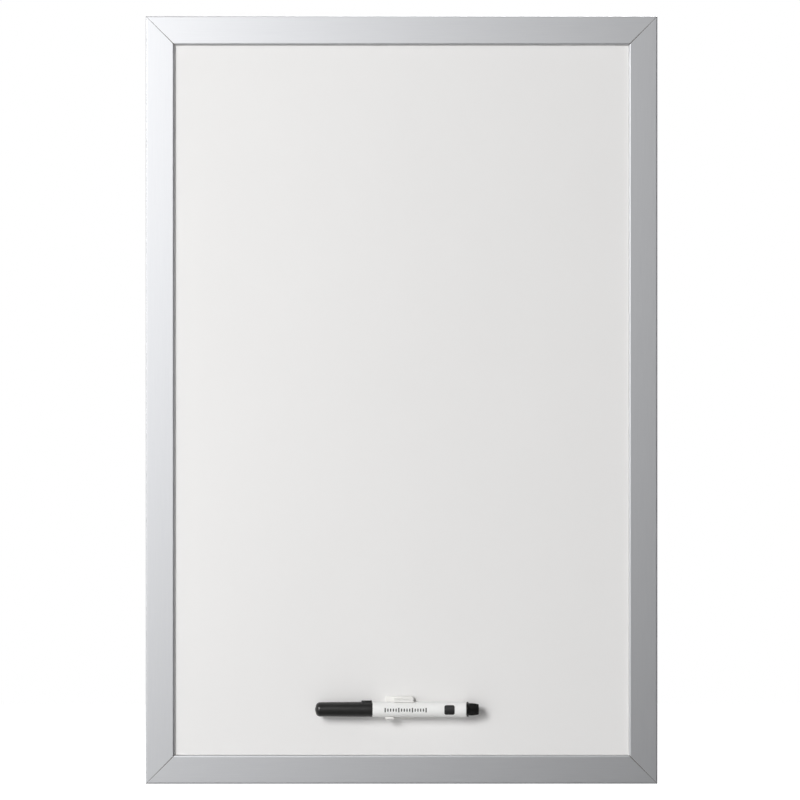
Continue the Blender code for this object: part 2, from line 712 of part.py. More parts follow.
def cap_profile():
    """The cap from the middle of its closed end, along its outside, and back along its bore."""
    rounding, mouth = CAP_END_ROUNDING, CAP_MOUTH_ROUNDING
    rim_x = CAP_END_X + CAP_END_BULGE
    corner = (rim_x + rounding, CAP_END_RADIUS - rounding)
    profile = [(CAP_END_X, 0)]
    profile += arc(corner, rounding, pi, pi / 2, ROUNDING_STEPS)
    profile += [(CAP_MOUTH_X - mouth, CAP_MOUTH_RADIUS), (CAP_MOUTH_X, CAP_MOUTH_RADIUS - mouth)]
    seal_x = -(HOLDER_COLLAR + CAP_SEAL_FROM_COLLAR)
    cone = CAP_BORE_RADIUS - CAP_SEAL_RADIUS
    floor_x = rim_x + CAP_END_WALL
    profile += [(CAP_MOUTH_X, CAP_BORE_RADIUS), (seal_x, CAP_BORE_RADIUS)]
    profile += [(seal_x - cone, CAP_SEAL_RADIUS), (floor_x, CAP_SEAL_RADIUS), (floor_x, 0)]
    return profile


def lug_shape():
    """The small lug on top of the cap, with a ramp towards the closed end."""
    high = CAP_MOUTH_RADIUS + LUG_HEIGHT
    root = CAP_BORE_RADIUS + CAP_WALL / 2
    right = CAP_MOUTH_X - LUG_FROM_MOUTH
    left = right - LUG_LENGTH
    outline = [(left, root), (right, root), (right, high - LUG_RAMP / 2)]
    outline += [(right - LUG_RAMP / 2, high), (left + LUG_RAMP, high)]
    shape = extruded(outline, LUG_WIDTH)
    return moved(shape, Matrix.Translation((0, -LUG_WIDTH / 2, 0)))


def make_cap(barrel, plastic):
    shape = turned(cap_profile(), ALONG_X, TURNED_STEPS)
    cap = placed("marker_cap", mesh_of("marker_cap", shape, plastic), parent=barrel)
    combine(cap, "UNION", helper("cap_lug", lug_shape(), cap))


def plug_profile():
    """The plug from its end inside the barrel to the middle of its closed outer end."""
    flange_end = PLUG_FLANGE_X + PLUG_FLANGE_LENGTH
    tip_x = flange_end + PLUG_BODY_LENGTH
    rounding = PLUG_TIP_ROUNDING
    profile = [(PLUG_SPIGOT_X, 0), (PLUG_SPIGOT_X, SPIGOT_RADIUS), (PLUG_FLANGE_X, SPIGOT_RADIUS)]
    profile += [(PLUG_FLANGE_X, PLUG_FLANGE_RADIUS), (flange_end, PLUG_FLANGE_RADIUS)]
    body = PLUG_BODY_LENGTH - rounding
    for step in range(ROUNDING_STEPS + 1):
        share = step / ROUNDING_STEPS
        straight = PLUG_ROOT_RADIUS + (PLUG_TIP_RADIUS - PLUG_ROOT_RADIUS) * share
        profile.append((flange_end + body * share, straight + PLUG_BODY_BULGE * sin(pi * share)))
    profile += [(tip_x, PLUG_TIP_RADIUS - rounding), (tip_x, 0)]
    return profile


def make_plug(barrel, plastic):
    """The end plug. Every other line of its body is pressed in, which leaves fine ribs."""
    shape = turned(plug_profile(), ALONG_X, TURNED_STEPS)
    body_start = PLUG_FLANGE_X + PLUG_FLANGE_LENGTH + MERGE_DISTANCE
    body_end = PLUG_FLANGE_X + PLUG_FLANGE_LENGTH + PLUG_BODY_LENGTH - PLUG_TIP_ROUNDING
    for vert in shape.verts:
        around = Vector((0, vert.co.y, vert.co.z))
        line = round(Vector((0, 0, 1)).angle(around, 0) / (2 * pi / TURNED_STEPS))
        if body_start < vert.co.x < body_end - MERGE_DISTANCE and line % 2:
            vert.co -= around.normalized() * PLUG_RIB_DEPTH
    placed("marker_end_plug", mesh_of("marker_end_plug", shape, plastic), parent=barrel)


def make_marker(clip):
    white = material("barrel_white_plastic", 232, 232, 231, 0.32)
    black = material("cap_black_plastic", 42, 42, 41, 0.38)
    barrel = make_barrel(clip, white)
    make_holder(barrel, black)
    make_nib(barrel, material("nib_felt", 30, 30, 32, 0.85))
    make_reservoir(barrel, material("reservoir_fibre", 70, 70, 78, 0.90))
    make_plug(barrel, material("plug_black_plastic", 28, 28, 28, 0.34))
    make_cap(barrel, black)


def make_board():
    clear_scene()
    foil = material("silver_foil", 205, 206, 208, 0.34, 0.75)
    zinc = material("zinc_plated_steel", 176, 178, 180, 0.35, 1.0)
    rails = make_frame(foil, zinc)
    make_nails(zinc)
    make_panel_layer("writing_sheet", SHEET_FRONT, SHEET_THICKNESS,
                     material("white_lacquered_steel", 236, 236, 235, 0.22))
    make_panel_layer("core_board", CORE_FRONT, CORE_THICKNESS,
                     material("fibreboard", 150, 122, 88, 0.85))
    make_panel_layer("backing_sheet", BACKING_FRONT, BACKING_THICKNESS,
                     material("grey_paper_backing", 150, 148, 143, 0.9))
    make_hangers(rails, zinc, material("screw_steel", 190, 188, 180, 0.3, 1.0))
    make_bumpers(material("clear_grey_rubber", 70, 70, 72, 0.6))
    magnet = make_magnet(material("nickel_plated_magnet", 186, 186, 184, 0.22, 1.0))
    clip = make_clip(magnet, material("clip_white_plastic", 236, 233, 226, 0.35))
    make_marker(clip)


make_board()
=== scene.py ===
# %% [markdown]
# # A framed magnetic whiteboard, with its marker in a magnetic clip
# An MDF moulding wrapped in silver foil frames a white lacquered steel sheet. This file gives each
# piece its surface, and remodels those whose faces are too coarse to look at closely. The
# construction model fixes every size and place, so nothing here is moved.

# %% Load the fixed model
from math import cos, dist, pi, radians, sin, sqrt

import bmesh
import bpy
from mathutils import Matrix, Vector


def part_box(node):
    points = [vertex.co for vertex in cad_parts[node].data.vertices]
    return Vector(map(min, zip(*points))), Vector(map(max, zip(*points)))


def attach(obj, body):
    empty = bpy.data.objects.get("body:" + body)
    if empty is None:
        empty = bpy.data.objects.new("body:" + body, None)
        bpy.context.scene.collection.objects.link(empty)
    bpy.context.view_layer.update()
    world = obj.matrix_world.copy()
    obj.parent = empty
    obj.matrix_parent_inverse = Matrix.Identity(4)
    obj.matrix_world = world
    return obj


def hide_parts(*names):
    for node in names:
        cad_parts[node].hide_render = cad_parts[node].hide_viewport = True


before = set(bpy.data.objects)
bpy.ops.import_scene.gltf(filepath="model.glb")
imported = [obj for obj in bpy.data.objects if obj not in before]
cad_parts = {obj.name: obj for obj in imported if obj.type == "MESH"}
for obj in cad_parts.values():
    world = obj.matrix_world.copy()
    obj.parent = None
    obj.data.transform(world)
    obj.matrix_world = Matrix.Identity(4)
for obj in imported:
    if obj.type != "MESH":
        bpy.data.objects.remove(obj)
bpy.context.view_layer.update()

# %% [markdown]
# ## Sizes
# Every place comes from the boxes of the construction model's pieces. Only what a box can't say,
# such as a rounding, is a size of its own here. All sizes are in metres.

# %% Sizes of the board
SEAT_GAP = 0.0003
PANEL_EDGE_GAP = 0.0005
rail_low, rail_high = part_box("rail_left")
sheet_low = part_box("writing_sheet")[0]
LEFT_X, RIGHT_X = rail_low.x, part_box("rail_right")[1].x
BOTTOM_Z, TOP_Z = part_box("rail_bottom")[0].z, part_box("rail_top")[1].z
BOARD_WIDTH, BOARD_HEIGHT = RIGHT_X - LEFT_X, TOP_Z - BOTTOM_Z
MIDDLE_X, MIDDLE_Z = (LEFT_X + RIGHT_X) / 2, (TOP_Z + BOTTOM_Z) / 2
FACE_Y, BACK_Y = rail_low.y, rail_high.y
FACE_WIDTH, RAIL_DEPTH = rail_high.x - LEFT_X, BACK_Y - FACE_Y
BACK_WIDTH = sheet_low.x - LEFT_X - PANEL_EDGE_GAP
LIP_THICKNESS = sheet_low.y - SEAT_GAP - FACE_Y
print(f"Board {BOARD_WIDTH:.3f} by {BOARD_HEIGHT:.3f}, rails {FACE_WIDTH:.4f} wide, {RAIL_DEPTH:.4f} deep")

# %% Sizes of the marker
barrel_low, barrel_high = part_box("marker_barrel")
AXIS_Y, AXIS_Z = (barrel_low.y + barrel_high.y) / 2, (barrel_low.z + barrel_high.z) / 2
BARREL_START, BARREL_END = barrel_low.x, barrel_high.x
BARREL_RADIUS, BARREL_WALL = (barrel_high.z - barrel_low.z) / 2, 0.0010
BORE_RADIUS = BARREL_RADIUS - BARREL_WALL
print(f"Marker's axis at y {AXIS_Y:.5f}, z {AXIS_Z:.5f}, radius {BARREL_RADIUS:.5f}")

# %% [markdown]
# ## Colours and nodes
# A picture stores colours as sRGB and shaders work in linear light, so one function turns each hex
# value. Another adds a node with its settings and inputs. A node given as an input stands for its
# first output in use, and a Mix node's colours or levels go by number, as they share one name.

# %% Colours and nodes
MATH, MIX, NOISE, RANGE = "ShaderNodeMath", "ShaderNodeMix", "ShaderNodeTexNoise", "ShaderNodeMapRange"
SEPARATE, COMBINE, VECTOR = "ShaderNodeSeparateXYZ", "ShaderNodeCombineXYZ", "ShaderNodeVectorMath"
STORE, NAMED = "GeometryNodeStoreNamedAttribute", "GeometryNodeInputNamedAttribute"
POSITION, COORDINATES = "GeometryNodeInputPosition", "ShaderNodeTexCoord"
MIX_A, MIX_B, LEVEL_A, LEVEL_B = 6, 7, 2, 3


def linear(hex_colour):
    """Linear RGBA from an sRGB hex value, by the curve of the sRGB standard."""
    shares = [int(hex_colour[at:at + 2], 16) / 255 for at in (0, 2, 4)]
    return [s / 12.92 if s <= 0.04045 else ((s + 0.055) / 1.055) ** 2.4 for s in shares] + [1.0]


def feed(node, inputs):
    """Links or fills a node's inputs, from a dict by name or number, or a list in order."""
    for key, value in (inputs if isinstance(inputs, dict) else dict(enumerate(inputs))).items():
        if isinstance(value, bpy.types.Node):
            value = next(socket for socket in value.outputs if socket.enabled)
        if isinstance(value, bpy.types.NodeSocket):
            node.id_data.links.new(value, node.inputs[key])
        else:
            node.inputs[key].default_value = value


def add(tree, kind, inputs=(), **settings):
    """A node with its properties set and its inputs fed."""
    node = tree.nodes.new(kind)
    for name, value in settings.items():
        setattr(node, name, value)
    feed(node, inputs)
    return node


print("Mid grey 808080 is", round(linear("808080")[0], 3), "in linear light")

# %% [markdown]
# ## What surfaces share
# Each starts from the same shader and ends with two colours mixed by a pattern and a shallow bump,
# which shows a finish by its light. Foil, felt and fibre are drawn out in one direction, so they
# share a noise stretched into streaks of a real length and width.

# %% Surfaces and streaks
BUMP_HEIGHT = 0.0001


def surface(name, roughness, metallic=0.0):
    """A material with its node tree and its shader."""
    made = bpy.data.materials.new(name)
    made.use_nodes = True
    shader = made.node_tree.nodes["Principled BSDF"]
    feed(shader, {"Roughness": roughness, "Metallic": metallic})
    return made, made.node_tree, shader


def end_surface(tree, shader, share, one, other, height, strength, **others):
    """Feeds a shader a mix of two colours, a bump and whatever else varies."""
    colour = add(tree, MIX, {0: share, MIX_A: one, MIX_B: other}, data_type="RGBA")
    bump = add(tree, "ShaderNodeBump", {"Height": height, "Strength": strength, "Distance": BUMP_HEIGHT})
    feed(shader, {"Base Color": colour, "Normal": bump, **others})


def streaks(tree, place, length, width):
    stretched = add(tree, VECTOR, [place, (1 / length, 1 / width, 1 / width)], operation="MULTIPLY")
    return add(tree, NOISE, {"Vector": stretched, "Scale": 1.0, "Detail": 3.0})


print("A bump stands", BUMP_HEIGHT * 1000, "mm high at most")

# %% [markdown]
# ## Silver foil on MDF
# A printed metallic foil is glued round the moulding's face and both edges, and turned a few
# millimetres onto the back, where the brown MDF stays bare. To the eye it is a satin metal with a
# fine grain along each rail, which blurs the lamp into one broad glow. One material holds both, as
# one solid does. It follows an attribute of the rails (along, inwards, back), and a threshold on
# that keeps the foil's edge sharp at any distance.

# %% Silver foil
FOIL_ROUGHNESS, FOIL_SPREAD, FOIL_BUMP = 0.55, 0.02, 0.1
FOIL_TURN, FOIL_EDGE = 0.0045, 0.00001
GRAIN_LENGTH, GRAIN_WIDTH = 0.030, 0.0009
FIBRE_SIZE = 0.0008


def make_silver_foil():
    made, tree, shader = surface("silver_foil_on_mdf", FOIL_ROUGHNESS, 1.0)
    grain = add(tree, "ShaderNodeAttribute", attribute_name="grain").outputs["Vector"]
    lines = streaks(tree, grain, GRAIN_LENGTH, GRAIN_WIDTH)
    silver = add(tree, MIX, {0: lines, MIX_A: linear("D8D9DC"), MIX_B: linear("DFE0E2")}, data_type="RGBA")
    # The foil ends a little past the edge of the back, and never reaches the rebate.
    _, inwards, back = add(tree, SEPARATE, [grain]).outputs
    past = add(tree, MATH, [inwards, FOIL_TURN], operation="GREATER_THAN")
    behind = add(tree, MATH, [back, LIP_THICKNESS - FOIL_EDGE], operation="GREATER_THAN")
    inside = add(tree, MATH, [past, behind], operation="MULTIPLY")
    cut = add(tree, "ShaderNodeAttribute", attribute_name="cut").outputs["Fac"]
    bare = add(tree, MATH, [inside, cut], operation="MAXIMUM")
    fibres = add(tree, NOISE, {"Vector": grain, "Scale": 1 / FIBRE_SIZE, "Detail": 4.0})
    mdf = add(tree, MIX, {0: fibres, MIX_A: linear("967C5C"), MIX_B: linear("BEA37F")}, data_type="RGBA")
    metal = add(tree, MATH, [1.0, bare], operation="SUBTRACT")
    gloss = add(tree, RANGE, [lines, 0.0, 1.0, FOIL_ROUGHNESS - FOIL_SPREAD, FOIL_ROUGHNESS + FOIL_SPREAD])
    rough = add(tree, MATH, [gloss, bare], operation="MAXIMUM")
    end_surface(tree, shader, bare, silver, mdf, lines, FOIL_BUMP, Metallic=metal, Roughness=rough)
    return made


silver_foil = make_silver_foil()
print("Made", silver_foil.name)

# %% [markdown]
# ## Boards of pressed fibre
# The core is softboard, wood fibre pressed wet and dried, and the backing is grey board of recycled
# paper. Both are matt and finely mottled by their fibres, with darker flecks from the pulp, which
# have a hard threshold because a fleck has an edge.

# %% Softboard and grey board
BOARD_ROUGHNESS, BOARD_BUMP = 0.95, 0.3
FLECK_SIZE, FLECK_EDGE = 0.0006, 0.03


def make_board(name, dark, light, fleck, fleck_share):
    """Mottled fibres with flecks. A larger share shows more of them."""
    made, tree, shader = surface(name, BOARD_ROUGHNESS)
    place = add(tree, COORDINATES).outputs["Object"]
    fibres = add(tree, NOISE, {"Vector": place, "Scale": 1 / FIBRE_SIZE, "Detail": 5.0})
    pulp = add(tree, MIX, {0: fibres, MIX_A: linear(dark), MIX_B: linear(light)}, data_type="RGBA")
    specks = add(tree, NOISE, {"Vector": place, "Scale": 1 / FLECK_SIZE, "Detail": 0.0})
    shown = add(tree, RANGE, [specks, 1 - fleck_share, 1 - fleck_share + FLECK_EDGE])
    end_surface(tree, shader, shown, pulp, linear(fleck), fibres, BOARD_BUMP)
    return made


softboard = make_board("softboard", "8F7148", "B89A6C", "7A6040", 0.34)
grey_board = make_board("grey_recycled_board", "8F8C86", "A19E97", "7F7C76", 0.31)
print("Made", softboard.name, "and", grey_board.name)

# %% [markdown]
# ## Lacquered steel
# Lacquer, plating and moulded plastic are never quite even: colour and gloss drift in soft clouds,
# and a fine skin breaks up the highlight. One recipe makes them all from colours, roughness and
# real sizes. The writing surface is coil-coated steel, with a white polyester lacquer rolled on and
# baked. It is a warm, half-gloss white with a shallow orange peel that only reflections show.

# %% Smooth finishes and the white lacquer
CLOUD_SIZE, CLOUD_RANGE = 0.004, (0.3, 0.7)
PEEL_SIZE, LACQUER_CLOUD = 0.0020, 1 / 9


def make_smooth(name, dark, light, roughness, spread, skin_size, skin_bump, metallic=0.0,
                cloud_size=CLOUD_SIZE, cloud_range=CLOUD_RANGE, cloud_detail=2.0, skin_detail=2.0):
    """Colour and roughness drift between two values, under a skin of fine bumps."""
    made, tree, shader = surface(name, roughness, metallic)
    place = add(tree, COORDINATES).outputs["Object"]
    clouds = add(tree, NOISE, {"Vector": place, "Scale": 1 / cloud_size, "Detail": cloud_detail})
    rough = add(tree, RANGE, [clouds, *cloud_range, roughness - spread, roughness + spread])
    skin = add(tree, NOISE, {"Vector": place, "Scale": 1 / skin_size, "Detail": skin_detail})
    end_surface(tree, shader, clouds, linear(dark), linear(light), skin, skin_bump, Roughness=rough)
    return made


white_lacquer = make_smooth("white_lacquered_steel", "ECEBEA", "EEEDEC", 0.305, 0.025, PEEL_SIZE, 0.05,
                            cloud_size=LACQUER_CLOUD, cloud_range=(0.0, 1.0), skin_detail=1.0)
print("Made", white_lacquer.name)

# %% [markdown]
# ## Metals of the fittings
# Hangers, points and nails are pressed from zinc-plated strip, which looks dull and a little
# cloudy. The screws are plated one by one in bright zinc. The magnet is nickel-plated, warmer and
# nearly a mirror. A metal's colour is that of its reflections, and it keeps the shader's own IOR.

# %% Plated metals
PLATED = {"skin_size": 0.0004, "skin_bump": 0.08, "metallic": 1.0, "cloud_detail": 4.0}

zinc = make_smooth("zinc_plated_steel_strip", "A9AAAC", "C4C5C4", 0.38, 0.08, **PLATED)
screw_zinc = make_smooth("bright_zinc_screws", "B7B8BA", "D0D0CE", 0.25, 0.05, **PLATED)
nickel = make_smooth("nickel_plating", "C5BEB2", "D5CFC4", 0.16, 0.04, **PLATED)
print("Made", zinc.name, screw_zinc.name, nickel.name)

# %% [markdown]
# ## Plastics, rubber, ink and glue
# Clip and barrel are injection moulded in white polypropylene. Light sinks a little into them,
# which softens their shadows, and the polished barrel shines more. Cap and holder are black, with
# the fine grain of a spark-eroded mould, which spreads a lamp into a sheen. The plug's mould is
# polished, so it shines most. The bumpers are dark, matt rubber, the print is dry ink, duller than
# the barrel, and the glue in the mitres is sanded to a matt grey-brown.

# %% Plastics, rubber, ink and glue
PLASTIC_SPREAD, PLASTIC_DEPTH, PLASTIC_GLOW = 0.03, 0.0015, 0.2


def make_moulded(name, dark, light, roughness, grain_size, grain_bump, glow=0.0):
    """A finish with an even gloss and its mould's grain. A glow lets light sink in."""
    made = make_smooth(name, dark, light, roughness, PLASTIC_SPREAD, grain_size, grain_bump)
    feed(made.node_tree.nodes["Principled BSDF"], {
        "Subsurface Weight": glow, "Subsurface Scale": PLASTIC_DEPTH, "Subsurface Radius": (1.0, 1.0, 1.0)})
    return made


clip_white = make_moulded("warm_white_moulded_plastic", "F0EFEC", "F3F2EF", 0.36, 0.0005, 0.06, PLASTIC_GLOW)
barrel_white = make_moulded("white_glossy_plastic", "F5F5F3", "F8F8F6", 0.24, 0.0008, 0.04, PLASTIC_GLOW)
black_plastic = make_moulded("black_moulded_plastic", "252524", "2B2B2A", 0.32, 0.0003, 0.10)
gloss_black = make_moulded("glossy_black_plastic", "161615", "1A1A19", 0.22, 0.0005, 0.04)
rubber = make_moulded("dark_soft_rubber", "262628", "303032", 0.70, 0.0004, 0.25)
mark_grey = make_moulded("dark_grey_pad_print", "262626", "2E2E2E", 0.45, 0.0004, 0.05)
mitre_glue = make_moulded("glued_mdf_joint", "5A5753", "716D67", 0.85, 0.0005, 0.30)
print("Made", clip_white.name, barrel_white.name, black_plastic.name, rubber.name)

# %% [markdown]
# ## Felt and fibre rod
# The nib is hard felt soaked with ink, and the rod behind it a bundle of polyester fibres. Both are
# matt, with threads along the marker and the faint sheen of loose ends. Real threads are finer than
# a tenth of a millimetre, so these are drawn a quarter of a millimetre wide to show.

# %% Felt and fibre rod
THREAD_LENGTH, THREAD_WIDTH = 0.0040, 0.00025
FELT_ROUGHNESS, FELT_BUMP, FELT_SHEEN = 0.9, 0.5, 0.2


def make_fibre(name, dark, light):
    made, tree, shader = surface(name, FELT_ROUGHNESS)
    threads = streaks(tree, add(tree, COORDINATES).outputs["Object"], THREAD_LENGTH, THREAD_WIDTH)
    feed(shader, {"Sheen Weight": FELT_SHEEN})
    end_surface(tree, shader, threads, linear(dark), linear(light), threads, FELT_BUMP)
    return made


nib_felt = make_fibre("inked_nib_felt", "0E0E12", "24242A")
rod_fibre = make_fibre("ink_rod_fibre", "3C3C46", "6A6A76")
print("Made", nib_felt.name, rod_fibre.name)

# %% [markdown]
# ## From a recipe to a piece
# A modifier is only a recipe. Its helper is linked to the scene to be evaluated, the result becomes
# a plain mesh, and the helper goes away. A Geometry Nodes tree states a rule once, is given each
# size by its socket's identifier, and ends by realising its instances and setting its material.
# Each finished piece sits at the origin, with its place in its mesh.

# %% Plain meshes and finished pieces
SMOOTH_ANGLE = radians(30)


def linked(name, data):
    """An object for this data, linked to the scene."""
    obj = bpy.data.objects.new(name, data)
    bpy.context.scene.collection.objects.link(obj)
    return obj


def applied(helper):
    """The plain mesh that a helper's modifiers leave."""
    graph = bpy.context.evaluated_depsgraph_get()
    mesh = bpy.data.meshes.new_from_object(
        helper.evaluated_get(graph), preserve_all_data_layers=True, depsgraph=graph)
    bpy.data.objects.remove(helper)
    return mesh


def mesh_from(name, shape):
    """A mesh from a bmesh whose faces are made to point outwards."""
    bmesh.ops.recalc_face_normals(shape, faces=shape.faces)
    mesh = bpy.data.meshes.new(name)
    shape.to_mesh(mesh)
    shape.free()
    return mesh


def piece(name, mesh, material, body, slot, *nodes):
    """A finished piece: shaded, riding on its body and standing for these nodes."""
    mesh.name = name
    if not mesh.materials:
        mesh.materials.append(material)
    mesh.shade_smooth()
    mesh.set_sharp_from_angle(angle=SMOOTH_ANGLE)
    obj = linked(name, mesh)
    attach(obj, body)
    if nodes:
        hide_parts(*nodes)
    print(f"{name}: {len(mesh.polygons)} faces")


print("Faces that meet at more than", round(SMOOTH_ANGLE, 3), "radians keep a sharp edge")

# %% Geometry Nodes trees
def new_tree(name, **sockets):
    """An empty tree with these named inputs, what it is given, and its end node."""
    tree = bpy.data.node_groups.new(name, "GeometryNodeTree")
    for way in ("INPUT", "OUTPUT"):
        tree.interface.new_socket("Geometry", in_out=way, socket_type="NodeSocketGeometry")
    for label, kind in sockets.items():
        tree.interface.new_socket(label, in_out="INPUT", socket_type="NodeSocket" + kind)
    return tree, tree.nodes.new("NodeGroupInput").outputs, tree.nodes.new("NodeGroupOutput")


def end_tree(tree, geometry, material, end):
    """Realises instances, sets the material and links the end node."""
    real = add(tree, "GeometryNodeRealizeInstances", [geometry])
    feed(end, [add(tree, "GeometryNodeSetMaterial", {"Geometry": real, "Material": material})])


def grown(name, tree, base, **values):
    """The plain mesh that a tree grows from a base mesh with these inputs."""
    helper = linked(name, base)
    modifier = helper.modifiers.new("Grow", "NODES")
    modifier.node_group = tree
    for item in tree.interface.items_tree:
        if item.in_out == "INPUT" and item.name in values:
            modifier[item.identifier] = values[item.name]
    return applied(helper)


print("Ready to grow meshes")

# %% [markdown]
# ## The four rails
# Each rail is one section swept along a line and cut at 45 degrees, a rule that Geometry Nodes
# state well: a line carries the section, and Set Position shortens each point by how far inwards
# it lies. Mesh code could bridge two rings as well, but the tree keeps the section as an attribute,
# which leads the foil's grain and shows where MDF is bare. A point held close to each end of a flat
# keeps smooth shading from blending a rounding's tilt into it.

# %% Outlines
HOLD_DISTANCE, HOLD_FROM = 0.00012, 0.0010
SECTION_STEPS = 12


def arc(centre, radius, start, end, steps=SECTION_STEPS):
    """Points on a circle from one angle to another, both ends included."""
    turns = [start + (end - start) * step / steps for step in range(steps + 1)]
    return [(centre[0] + radius * cos(turn), centre[1] + radius * sin(turn)) for turn in turns]


def held(outline, closed=False):
    """The outline with a point near both ends of each long straight."""
    ends = outline[1:] + outline[:1] if closed else outline[1:]
    points = []
    for one, other in zip(outline, ends):
        points.append(one)
        length = dist(one, other)
        if length > HOLD_FROM:
            for share in (HOLD_DISTANCE / length, 1 - HOLD_DISTANCE / length):
                points.append(tuple(a + (b - a) * share for a, b in zip(one, other)))
    return points if closed else points + outline[-1:]


print("A quarter circle in 2 steps:", [f"{x:.2f} {z:.2f}" for x, z in arc((0, 0), 1, 0, pi / 2, 2)])

# %% The moulding's section
OUTER_ROUNDING, INNER_ROUNDING, BACK_ROUNDING = 0.0011, 0.0015, 0.0006


def face_outline(low, high, outer, inner):
    """The section's face between two places, rounded at both edges."""
    outline = arc((low + outer, low + outer), outer, pi, 1.5 * pi)
    return outline + arc((high - inner, low + inner), inner, 1.5 * pi, 2 * pi)


def section_ring():
    """The moulding's section in X (inwards) and Y (back), as a closed ring of edges."""
    outline = face_outline(0, FACE_WIDTH, OUTER_ROUNDING, INNER_ROUNDING)
    outline += [(FACE_WIDTH, LIP_THICKNESS), (BACK_WIDTH, LIP_THICKNESS), (BACK_WIDTH, RAIL_DEPTH)]
    outline += arc((BACK_ROUNDING, RAIL_DEPTH - BACK_ROUNDING), BACK_ROUNDING, pi / 2, pi, SECTION_STEPS // 2)
    outline = held(outline, closed=True)
    mesh = bpy.data.meshes.new("section")
    edges = [(at, (at + 1) % len(outline)) for at in range(len(outline))]
    mesh.from_pydata([(inwards, back, 0) for inwards, back in outline], edges, [])
    return mesh


print(f"The rebate starts {BACK_WIDTH * 1000:.2f} mm inwards")

# %% The rail tree
CAP_FACING = 0.9


def make_rail_tree():
    tree, given, end_node = new_tree("mitred_rail", Length="Float", Face_Width="Float", Trim="Float",
                                     Opening="Float", Material="Material")
    outline = add(tree, STORE, {"Geometry": given["Geometry"], "Name": "section",
                                "Value": add(tree, POSITION)}, data_type="FLOAT_VECTOR")
    profile = add(tree, "GeometryNodeMeshToCurve", {"Mesh": outline})
    line = add(tree, "GeometryNodeCurvePrimitiveLine", {"Start": (-1.0, 0.0, 0.0), "End": (1.0, 0.0, 0.0)})
    place = add(tree, SEPARATE, [add(tree, POSITION)])
    line = add(tree, STORE, {"Geometry": line, "Name": "end", "Value": place}, data_type="FLOAT")
    swept = add(tree, "GeometryNodeCurveToMesh", {"Curve": line, "Profile Curve": profile, "Fill Caps": True})
    # The two caps are the only faces that look along the sweep: they are the saw cuts.
    facing = add(tree, SEPARATE, [add(tree, "GeometryNodeInputNormal")])
    steep = add(tree, MATH, [facing], operation="ABSOLUTE")
    cap = add(tree, MATH, [steep, CAP_FACING], operation="GREATER_THAN")
    swept = add(tree, STORE, {"Geometry": swept, "Name": "cut", "Value": cap},
                data_type="FLOAT", domain="FACE")
    section = add(tree, NAMED, {"Name": "section"}, data_type="FLOAT_VECTOR")
    inwards, back, _ = add(tree, SEPARATE, [section]).outputs
    end = add(tree, NAMED, {"Name": "end"}, data_type="FLOAT")
    half = add(tree, MATH, [given["Length"], 0.5], operation="MULTIPLY")
    share = add(tree, MATH, [inwards, given["Face_Width"]], operation="DIVIDE")
    gap = add(tree, MATH, [share, given["Opening"], given["Trim"]], operation="MULTIPLY_ADD")
    shorter = add(tree, MATH, [inwards, gap], operation="ADD")
    reach = add(tree, MATH, [half, shorter], operation="SUBTRACT")
    along = add(tree, MATH, [reach, end], operation="MULTIPLY")
    spot = add(tree, COMBINE, [along, back, inwards])
    swept = add(tree, "GeometryNodeSetPosition", {"Geometry": swept, "Position": spot})
    grain = add(tree, COMBINE, [along, inwards, back])
    swept = add(tree, STORE, {"Geometry": swept, "Name": "grain", "Value": grain}, data_type="FLOAT_VECTOR")
    end_tree(tree, swept, given["Material"], end_node)
    return tree


rail_tree = make_rail_tree()
print("The rail tree has", len(rail_tree.nodes), "nodes")

# %% [markdown]
# The saw leaves each rail a hair short, and the joint opens a little towards the inner corner,
# where the photograph shows its line darkest.

# %% Grow the rails
MITRE_TRIM, MITRE_OPENING = 0.00013, 0.00030
RAILS = {
    "bottom": (BOARD_WIDTH, 0, (MIDDLE_X, BOTTOM_Z)),
    "right": (BOARD_HEIGHT, -pi / 2, (RIGHT_X, MIDDLE_Z)),
    "top": (BOARD_WIDTH, pi, (MIDDLE_X, TOP_Z)),
    "left": (BOARD_HEIGHT, pi / 2, (LEFT_X, MIDDLE_Z)),
}
for side, (length, turn, (x, z)) in RAILS.items():
    name = "foil_rail_" + side
    mesh = grown(name, rail_tree, section_ring(), Length=length, Face_Width=FACE_WIDTH, Trim=MITRE_TRIM,
                 Opening=MITRE_OPENING, Material=silver_foil)
    mesh.transform(Matrix.Translation((x, FACE_Y, z)) @ Matrix.Rotation(turn, 4, "Y"))
    shape = bmesh.new()
    shape.from_mesh(mesh)
    piece(name, mesh_from(name, shape), silver_foil, "board_body", "silver_foil", "rail_" + side)

# %% [markdown]
# ## The glued mitres
# Glue and cut MDF fill the joint between two rails, which shows as a fine dark line. Each joint
# gets a thin slab of the moulding's own section, a little smaller all round, so that the line lies
# at the bottom of the joint and nothing shows through it.

# %% Solids from outlines
def front_to_back(x, z, y):
    return (x, y, z)


def prism(outline, low, high, place=front_to_back):
    """A closed solid whose ends are an outline, with place(across, up, along) giving each point."""
    shape = bmesh.new()
    rings = [[shape.verts.new(place(*spot, along)) for spot in outline] for along in (low, high)]
    for ring in rings:
        shape.faces.new(ring)
    for at in range(len(outline)):
        after = (at + 1) % len(outline)
        shape.faces.new((rings[0][at], rings[0][after], rings[1][after], rings[1][at]))
    bmesh.ops.recalc_face_normals(shape, faces=shape.faces)
    return shape


def together(name, shapes):
    """One mesh that holds several bodies."""
    whole = bmesh.new()
    for shape in shapes:
        loose = mesh_from("loose", shape)
        whole.from_mesh(loose)
        bpy.data.meshes.remove(loose)
    return mesh_from(name, whole)


print("Ready to build solids")

# %% Glue in the four corners
GLUE_INSET, GLUE_HALF = 0.00035, MITRE_TRIM


